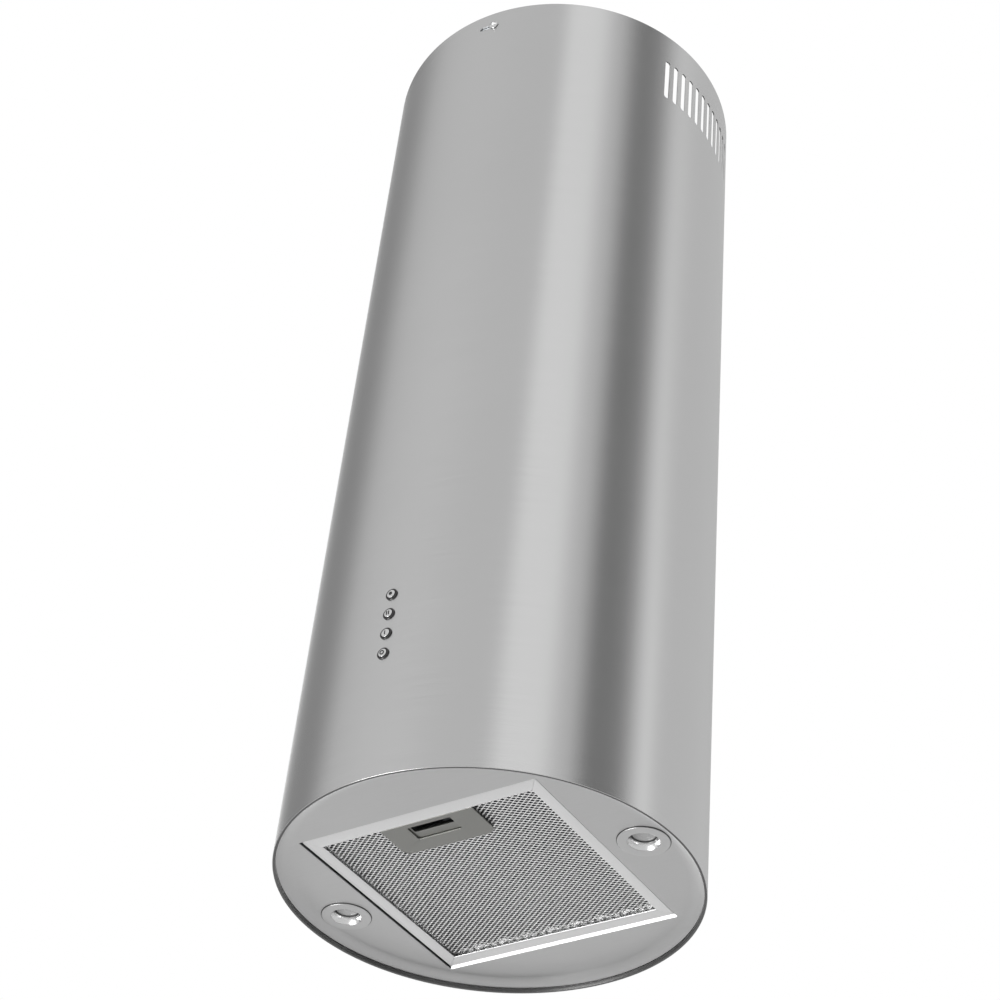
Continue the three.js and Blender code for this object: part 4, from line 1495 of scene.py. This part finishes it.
@dataclass
class Blower:
    """The scroll housing, inlet rings, impeller, shaft and the motor in its spider."""

    axis_y: float = -18.0
    axis_height: float = 165.0
    half_width: float = 52.0
    sheet: float = 1.6
    cutoff: float = 125.0
    cutoff_radius: float = 76.0
    growth: float = 0.062
    neck: float = 53.0
    neck_top: float = 338.5
    shoulder: float = 300.0
    inlet: float = 54.0
    wheel: float = 66.0
    wheel_inside: float = 50.0
    wheel_half: float = 42.0
    blades: int = 32

    def on_axis(self, shape: Shape) -> Shape:
        """Lays a piece made about Z along the fan's X axis."""
        return shape.turned(90, "Y").shifted(y=self.axis_y, z=self.axis_height)

    def scroll(self, inset: float) -> list[Point]:
        """The scroll's outline as (y, height), `inset` inside the outer skin."""
        spiral = []
        for i in range(73):
            turn = math.radians(360 - self.cutoff) * i / 72
            angle = math.radians(self.cutoff) + turn
            radius = self.cutoff_radius * math.exp(self.growth * turn) - inset
            place = (self.axis_y + radius * math.cos(angle), self.axis_height + radius * math.sin(angle))
            spiral.append(place)
        side = self.neck - inset
        return [(side, self.neck_top), (-side, self.neck_top), (-side, self.shoulder), *spiral,
                (side, self.shoulder)]

    def housing_shape(self) -> Shape:
        """The wrapper, its two cheeks with their inlets and the neck's flange."""
        outer, inner = self.scroll(0.0), self.scroll(self.sheet)
        ring = [*outer[1:], outer[0], inner[0], *reversed(inner[1:])]
        width = self.half_width - self.sheet
        shape = prism(ring, -width - 0.1, width + 0.1).under(ALONG_X)
        hole = circle(self.inlet, 96, (self.axis_y, self.axis_height))
        for side in (-1, 1):
            low, high = sorted((side * width, side * self.half_width))
            shape += prism(outer, low, high, [hole]).under(ALONG_X)
        neck = self.neck - self.sheet
        opening = rectangle((-width, -neck), (width, neck))
        flange = rectangle((-62, -63), (62, 63), 4.0)
        return shape + prism(flange, self.neck_top - 2, self.neck_top, [opening])

    def wheel_shape(self, shop: Workshop) -> bpy.types.Object:
        """The impeller: a ring of curved blades between two end rings and a hub disc."""
        blade = self.blade()
        copied = shop.solid("blade", blade, Matrix.Scale(MM, 4))
        wheel = shop.solid("wheel_blades", Shape())
        inputs = shop.row_inputs(copied, self.blades, 0, 360 / self.blades, 0)
        shop.trees.ring.run(wheel, inputs | {"Material": shop.material(shop.finishes.black)})
        bpy.data.objects.remove(copied)
        wheel.data.transform(shop.to_frame @ self.lay() @ Matrix.Scale(1 / MM, 4))
        return wheel

    def lay(self) -> Matrix:
        """Turns a mesh made about Z onto the fan's axis."""
        shift = Matrix.Translation((0, self.axis_y, self.axis_height))
        return shift @ Matrix.Rotation(math.pi / 2, 4, "Y")

    def blade(self) -> Shape:
        """One forward-curved blade along Z."""
        inner, outer, camber, thick = self.wheel_inside + 0.6, self.wheel - 0.6, 3.0, 0.45
        steps = 8
        middle = [
            (inner + (outer - inner) * i / steps, -camber * math.sin(math.pi * i / steps) + 1.2 * i / steps)
            for i in range(steps + 1)
        ]
        section = [(x, y - thick) for x, y in middle] + [(x, y + thick) for x, y in reversed(middle)]
        return prism(section, -self.wheel_half, self.wheel_half)

    def rings(self) -> Shape:
        """The impeller's end rings, its middle disc and its hub."""
        half, inside, outside = self.wheel_half, self.wheel_inside, self.wheel
        shape = Shape()
        for low, high in ((-half - 1, 1 - half), (half - 1, half + 1)):
            shape += lathe(rectangle((inside, low), (outside, high), 0.6, 3), 128)
        disc = [
            (4.3, -14), (10.4, -14), (11, -13.4), (11, -3), *arc((13, -3), 2, 180, 90, 4),
            (outside, -1), (outside, 1), (13, 1), *arc((13, 3), 2, 270, 180, 4), (11, 3.4),
            (10.4, 4), (4.3, 4),
        ]
        return shape + lathe(disc, 128)

    def motor_section(self) -> list[Point]:
        """The motor's can with a stepped end cap, a clamped seam and a bore for the shaft."""
        cap = arc((37, 9), 3, 270, 360, 6)
        seam = [(40, 33), (39.2, 33.6), (39.2, 35.4), (40, 36)]
        rear = arc((36.5, 62.5), 3.5, 0, 90, 6)
        boss = [(22, 66), (21, 65), (10, 65), (9, 66)]
        front = [(4.5, 32), (4.5, 6), (16, 6), (17, 7), (30, 7), (31, 6)]
        return [(0, 32), *front, *cap, *seam, *rear, *boss, (0, 66)]

    def inlet_section(self) -> list[Point]:
        """The inlet ring's bell mouth and the lip that enters the housing."""
        wall = self.half_width
        bell = arc((56.6, wall - 3.1), 5.0, 180, 95, 8)
        return [(51.6, wall - 3), *bell[1:], (62, wall + 1.9), (62, wall + 0.3), (53.2, wall + 0.3),
                (53.2, wall - 3)]

    def build(self, shop: Workshop) -> None:
        """Makes the blower."""
        finishes = shop.finishes
        shop.make("scroll_housing", self.housing_shape(), finishes.grey_moulding, Edge(0.4), "blower_housing")
        for side, turn in (("left", 180), ("right", 0)):
            ring = self.on_axis(lathe(self.inlet_section(), 128).turned(turn, "X"))
            shop.make(f"bell_mouth_{side}", ring, finishes.grey_moulding, NO_EDGE, f"inlet_ring_{side}")
        wheel = self.wheel_shape(shop)
        shop.round_off(wheel, NO_EDGE)
        shop.dress(wheel, finishes.black, "impeller")
        shop.make("wheel_rings", self.on_axis(self.rings()), finishes.black, NO_EDGE, "impeller")
        shaft = [(0, -16), (3.4, -16), (4, -15.4), (4, 30), (0, 30)]
        shop.make("drive_shaft", self.on_axis(lathe(shaft, 40)), finishes.chrome, NO_EDGE, "motor_shaft")
        motor = self.on_axis(lathe(self.motor_section(), 128))
        shop.make("motor_can", motor, finishes.zinc, NO_EDGE, "fan_motor")
        shop.refine("motor_spider", finishes.zinc, Edge(0.4))


# ------------------------------------------------------------------ outlet and electrics


@dataclass
class Outlet:
    """The duct collar with its two non-return flaps on one pin."""

    radius: float = 74.0
    wall: float = 1.5
    flange: float = 86.0
    seat: float = 340.3
    top: float = 400.0
    pin_height: float = 359.5

    def collar_section(self) -> list[Point]:
        """The collar with its flange, two clamp beads and the flaps' stop ledge."""
        outside = self.radius + self.wall
        beads = []
        for height in (378.0, 388.0):
            beads += [(outside - 0.9, height - 1.4), (outside - 1.0, height), (outside - 0.9, height + 1.4)]
            beads.append((outside - 0.1, height + 2.4))
        return [
            (self.radius, self.seat), (self.flange, self.seat), (self.flange, self.seat + 1.5),
            (outside + 1.5, self.seat + 1.5), *arc((outside + 1.4, self.seat + 2.9), 1.4, 270, 180, 4),
            (outside, 374.5), *beads, (outside, self.top - 0.5), (outside - 0.5, self.top),
            (self.radius + 0.3, self.top), (self.radius, self.top - 0.5), (self.radius, 356),
            (69, 356), (69, 354.5), (self.radius, 354.5),
        ]

    def build(self, shop: Workshop) -> None:
        """Makes the collar, the flaps and the pin."""
        finish = shop.finishes.grey_moulding
        collar = shop.solid("duct_collar", lathe(self.collar_section(), 144))
        bore = lathe([(0, -90), (2.5, -90), (2.5, 90), (0, 90)], 24).turned(90, "X")
        shop.pierce(collar, bore.shifted(z=self.pin_height))
        shop.clean(collar.data)
        shop.round_off(collar, NO_EDGE)
        shop.dress(collar, finish, "outlet_collar")
        for side in ("left", "right"):
            shop.refine(f"flap_{side}", finish, Edge(0.25))
        pin = lathe([(0, -76.5), (1.6, -76.5), (2, -76.1), (2, 76.1), (1.6, 76.5), (0, 76.5)], 32)
        lying = pin.turned(90, "X").shifted(z=self.pin_height)
        shop.make("flap_axle", lying, shop.finishes.chrome, NO_EDGE, "flap_pin")


@dataclass
class Electrics:
    """The control box, capacitor, terminal block and cable gland."""

    capacitor_x: float = 136.0
    gland_place: Point = GLAND_PLACE

    def gland(self) -> Shape:
        """The gland's hexagon and dome nut, at its place on the motor box."""
        thread = lathe([(4, 325), (6.6, 325), (6.6, 340.6), (4, 340.6)], 48)
        hexagon = prism(circle(11, 6), 340.4, 345.4, [circle(4.05, 48)])
        nut = [(4, 345.5), (9.2, 345.5), (9.2, 349), *arc((6.2, 354.6), 3, 0, 90, 6), (5, 358), (4, 357.6)]
        return (thread + hexagon + lathe(nut, 48)).shifted(*self.gland_place)

    def can(self) -> Shape:
        """The capacitor's can with its rolled edge, lid and two tabs."""
        edge = arc((14.8, 151.2), 1.2, -90, 0, 5)
        rolled = [(16, 209), (15.2, 210), (15.2, 211.2), (16, 212.4), (15.4, 214), (14.2, 213)]
        body = lathe([(0, 150), *edge, *rolled, (13.6, 212.6), (0, 212.6)], 64)
        tabs = Shape()
        for y in (-3.2, 3.2):
            tabs += block((-2.6, y - 0.4, 212.4), (2.6, y + 0.4, 219.8))
        return (body + tabs).shifted(x=self.capacitor_x)

    def build(self, shop: Workshop) -> None:
        """Makes the electrical parts."""
        finishes = shop.finishes
        shop.refine("control_box", finishes.black, CASTING_EDGE)
        shop.refine("control_box_lid", finishes.grey_moulding, CASTING_EDGE)
        shop.make("capacitor_can", self.can(), finishes.frame_aluminium, NO_EDGE, "capacitor")
        shop.refine("terminal_block", finishes.black, Edge(0.4))
        shop.make("gland_body", self.gland(), finishes.black, Edge(0.3), "cable_gland")


# ------------------------------------------------------------------ studio


@dataclass(frozen=True)
class Panel:
    """An upright panel far round the hood, brighter or darker than the room, with soft edges."""

    azimuth: float
    half_width: float
    level: float
    fade: float = 10.0

    def stops(self, room: float) -> list[tuple[float, float]]:
        """Its (azimuth, level) stops, from the room's level to its own and back."""
        far = self.half_width + self.fade
        return [
            (self.azimuth - far, room), (self.azimuth - self.half_width, self.level),
            (self.azimuth + self.half_width, self.level), (self.azimuth + far, room),
        ]


@dataclass(frozen=True)
class Studio:
    """An even room with a few soft panels and flags, a pale floor, one softbox and the camera."""

    floor_drop: float = 3.0
    floor_half: float = 7.0
    camera_azimuth: float = 35.256
    camera_distance: float = 1.5285
    camera_drop: float = 0.8884
    heading: float = 36.20
    pitch: float = 40.306
    roll: float = 6.284
    lens: float = 78.03
    room: float = 0.65
    panels: tuple[Panel, ...] = (
        Panel(-165, 5, 0.5, 5),  # flag behind
        Panel(-140, 12, 1.8),  # bright panel behind the left edge
        Panel(-95, 15, 0.3, 15),  # flag on the left
        Panel(45, 10, 0.9),  # main panel, right of the buttons
        Panel(90, 10, 0.2),  # flag on the right
        Panel(115, 3, 1.0, 3),  # strip light past it
    )

    def build_world(self) -> None:
        """Lights the scene with the panels, white where the camera looks past the hood."""
        world = bpy.data.worlds.new("studio")
        bpy.context.scene.world = world
        world.use_nodes = True
        world.node_tree.nodes.clear()
        nodes = Nodes(world.node_tree)
        direction = nodes.node("ShaderNodeTexCoord").outputs["Generated"]
        x, y, _ = nodes.xyz(direction)
        bearing = x.math("ARCTAN2", x, 0.0 - y) / (2 * math.pi) + 0.5
        stops = sorted(stop for panel in self.panels for stop in panel.stops(self.room))
        # A ramp holds no level above 1, so the levels are halved in it and doubled by the strength.
        halved = [((azimuth + 180) / 360, level / 2) for azimuth, level in stops]
        ring = nodes.node("ShaderNodeValToRGB", {"stops": halved}, {0: bearing}).outputs[0]
        walls = nodes.node("ShaderNodeBackground", inputs={"Color": ring, "Strength": 2.0}).outputs[0]
        paper = nodes.node("ShaderNodeBackground", inputs={"Color": (1, 1, 1, 1)}).outputs[0]
        seen = nodes.node("ShaderNodeLightPath").outputs["Is Camera Ray"]
        both = nodes.node("ShaderNodeMixShader", inputs={0: seen, 1: walls, 2: paper}).outputs[0]
        nodes.node("ShaderNodeOutputWorld", inputs={"Surface": both})

    def build_floor(self) -> None:
        """Lays the pale floor."""
        mesh = bpy.data.meshes.new("floor")
        half, level = self.floor_half, -self.floor_drop
        corners = [(-half, -half, level), (half, -half, level), (half, half, level), (-half, half, level)]
        mesh.from_pydata(corners, [], [(0, 1, 2, 3)])
        floor = bpy.data.objects.new("floor", mesh)
        bpy.context.scene.collection.objects.link(floor)
        paint = Paint("pale_floor")
        clouds = paint.noise(paint.place, 0.8)
        mesh.materials.append(paint.principled({
            "Base Color": paint.shade(clouds, grey(0.82), grey(0.88)),
            "Roughness": 0.6,
        }))
        floor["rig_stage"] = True

    def build_softbox(self) -> None:
        """Sets one softbox low in front of the hood, for the gleam in the lamps and along the rim."""
        light = bpy.data.lights.new("softbox", "AREA")
        light.shape = "RECTANGLE"
        light.size, light.size_y = 1.3, 1.0
        light.energy = 27.0
        lamp = bpy.data.objects.new("softbox", light)
        bpy.context.scene.collection.objects.link(lamp)
        target, place = Vector((0, 0, -0.9)), Vector((-0.89, -1.67, -2.4))
        lamp.location = place
        lamp.rotation_euler = (target - place).to_track_quat("-Z", "Y").to_euler()
        lamp.visible_camera = False

    def build_camera(self, rim: float) -> None:
        """Places the camera below and to the right of the buttons, looking up."""
        azimuth, pitch, heading = (math.radians(a) for a in (self.camera_azimuth, self.pitch, self.heading))
        camera = bpy.data.cameras.new("camera")
        camera.lens, camera.sensor_width = self.lens, 36.0
        eye = bpy.data.objects.new("camera", camera)
        bpy.context.scene.collection.objects.link(eye)
        eye.location = (
            self.camera_distance * math.sin(azimuth),
            -self.camera_distance * math.cos(azimuth),
            rim - self.camera_drop,
        )
        level = Euler((math.pi / 2 + pitch, 0, heading)).to_matrix()
        eye.rotation_euler = (level @ Matrix.Rotation(math.radians(self.roll), 3, "Z")).to_euler()
        bpy.context.scene.camera = eye

    def build(self, rim: float) -> None:
        """Makes the whole studio."""
        self.build_camera(rim)
        self.build_world()
        self.build_floor()
        self.build_softbox()
        bpy.context.scene.view_settings.view_transform = "Standard"


def corners(box: tuple[Vector, Vector]) -> list[list[float]]:
    """A box's two corners as plain lists."""
    return [list(corner) for corner in box]


def main() -> None:
    """Builds every sub-assembly round the frame."""
    logging.basicConfig(level=logging.INFO, format="%(name)s %(message)s")
    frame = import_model()
    cad_box = corners(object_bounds())
    shop = Workshop(frame)
    Studio().build(shop.rim)
    low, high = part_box("casing_tube")
    radius = round((high.x - low.x) / 2 / MM, 3)
    Casing(radius=radius, height=(high.z - low.z) / MM).build(shop)
    BottomPlate().build(shop)
    Lamps().build(shop)
    PushButtons(surface=radius).build(shop)
    GreaseFilter().build(shop)
    HangingFrame(seat=radius + 0.35).build(shop)
    Blower().build(shop)
    Outlet().build(shop)
    Electrics().build(shop)
    sizes = {"cad_box": cad_box, "visual_box": corners(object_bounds())}
    for name, box in sizes.items():
        LOG.info("%s %s", name, box)


if __name__ == "__main__":
    main()
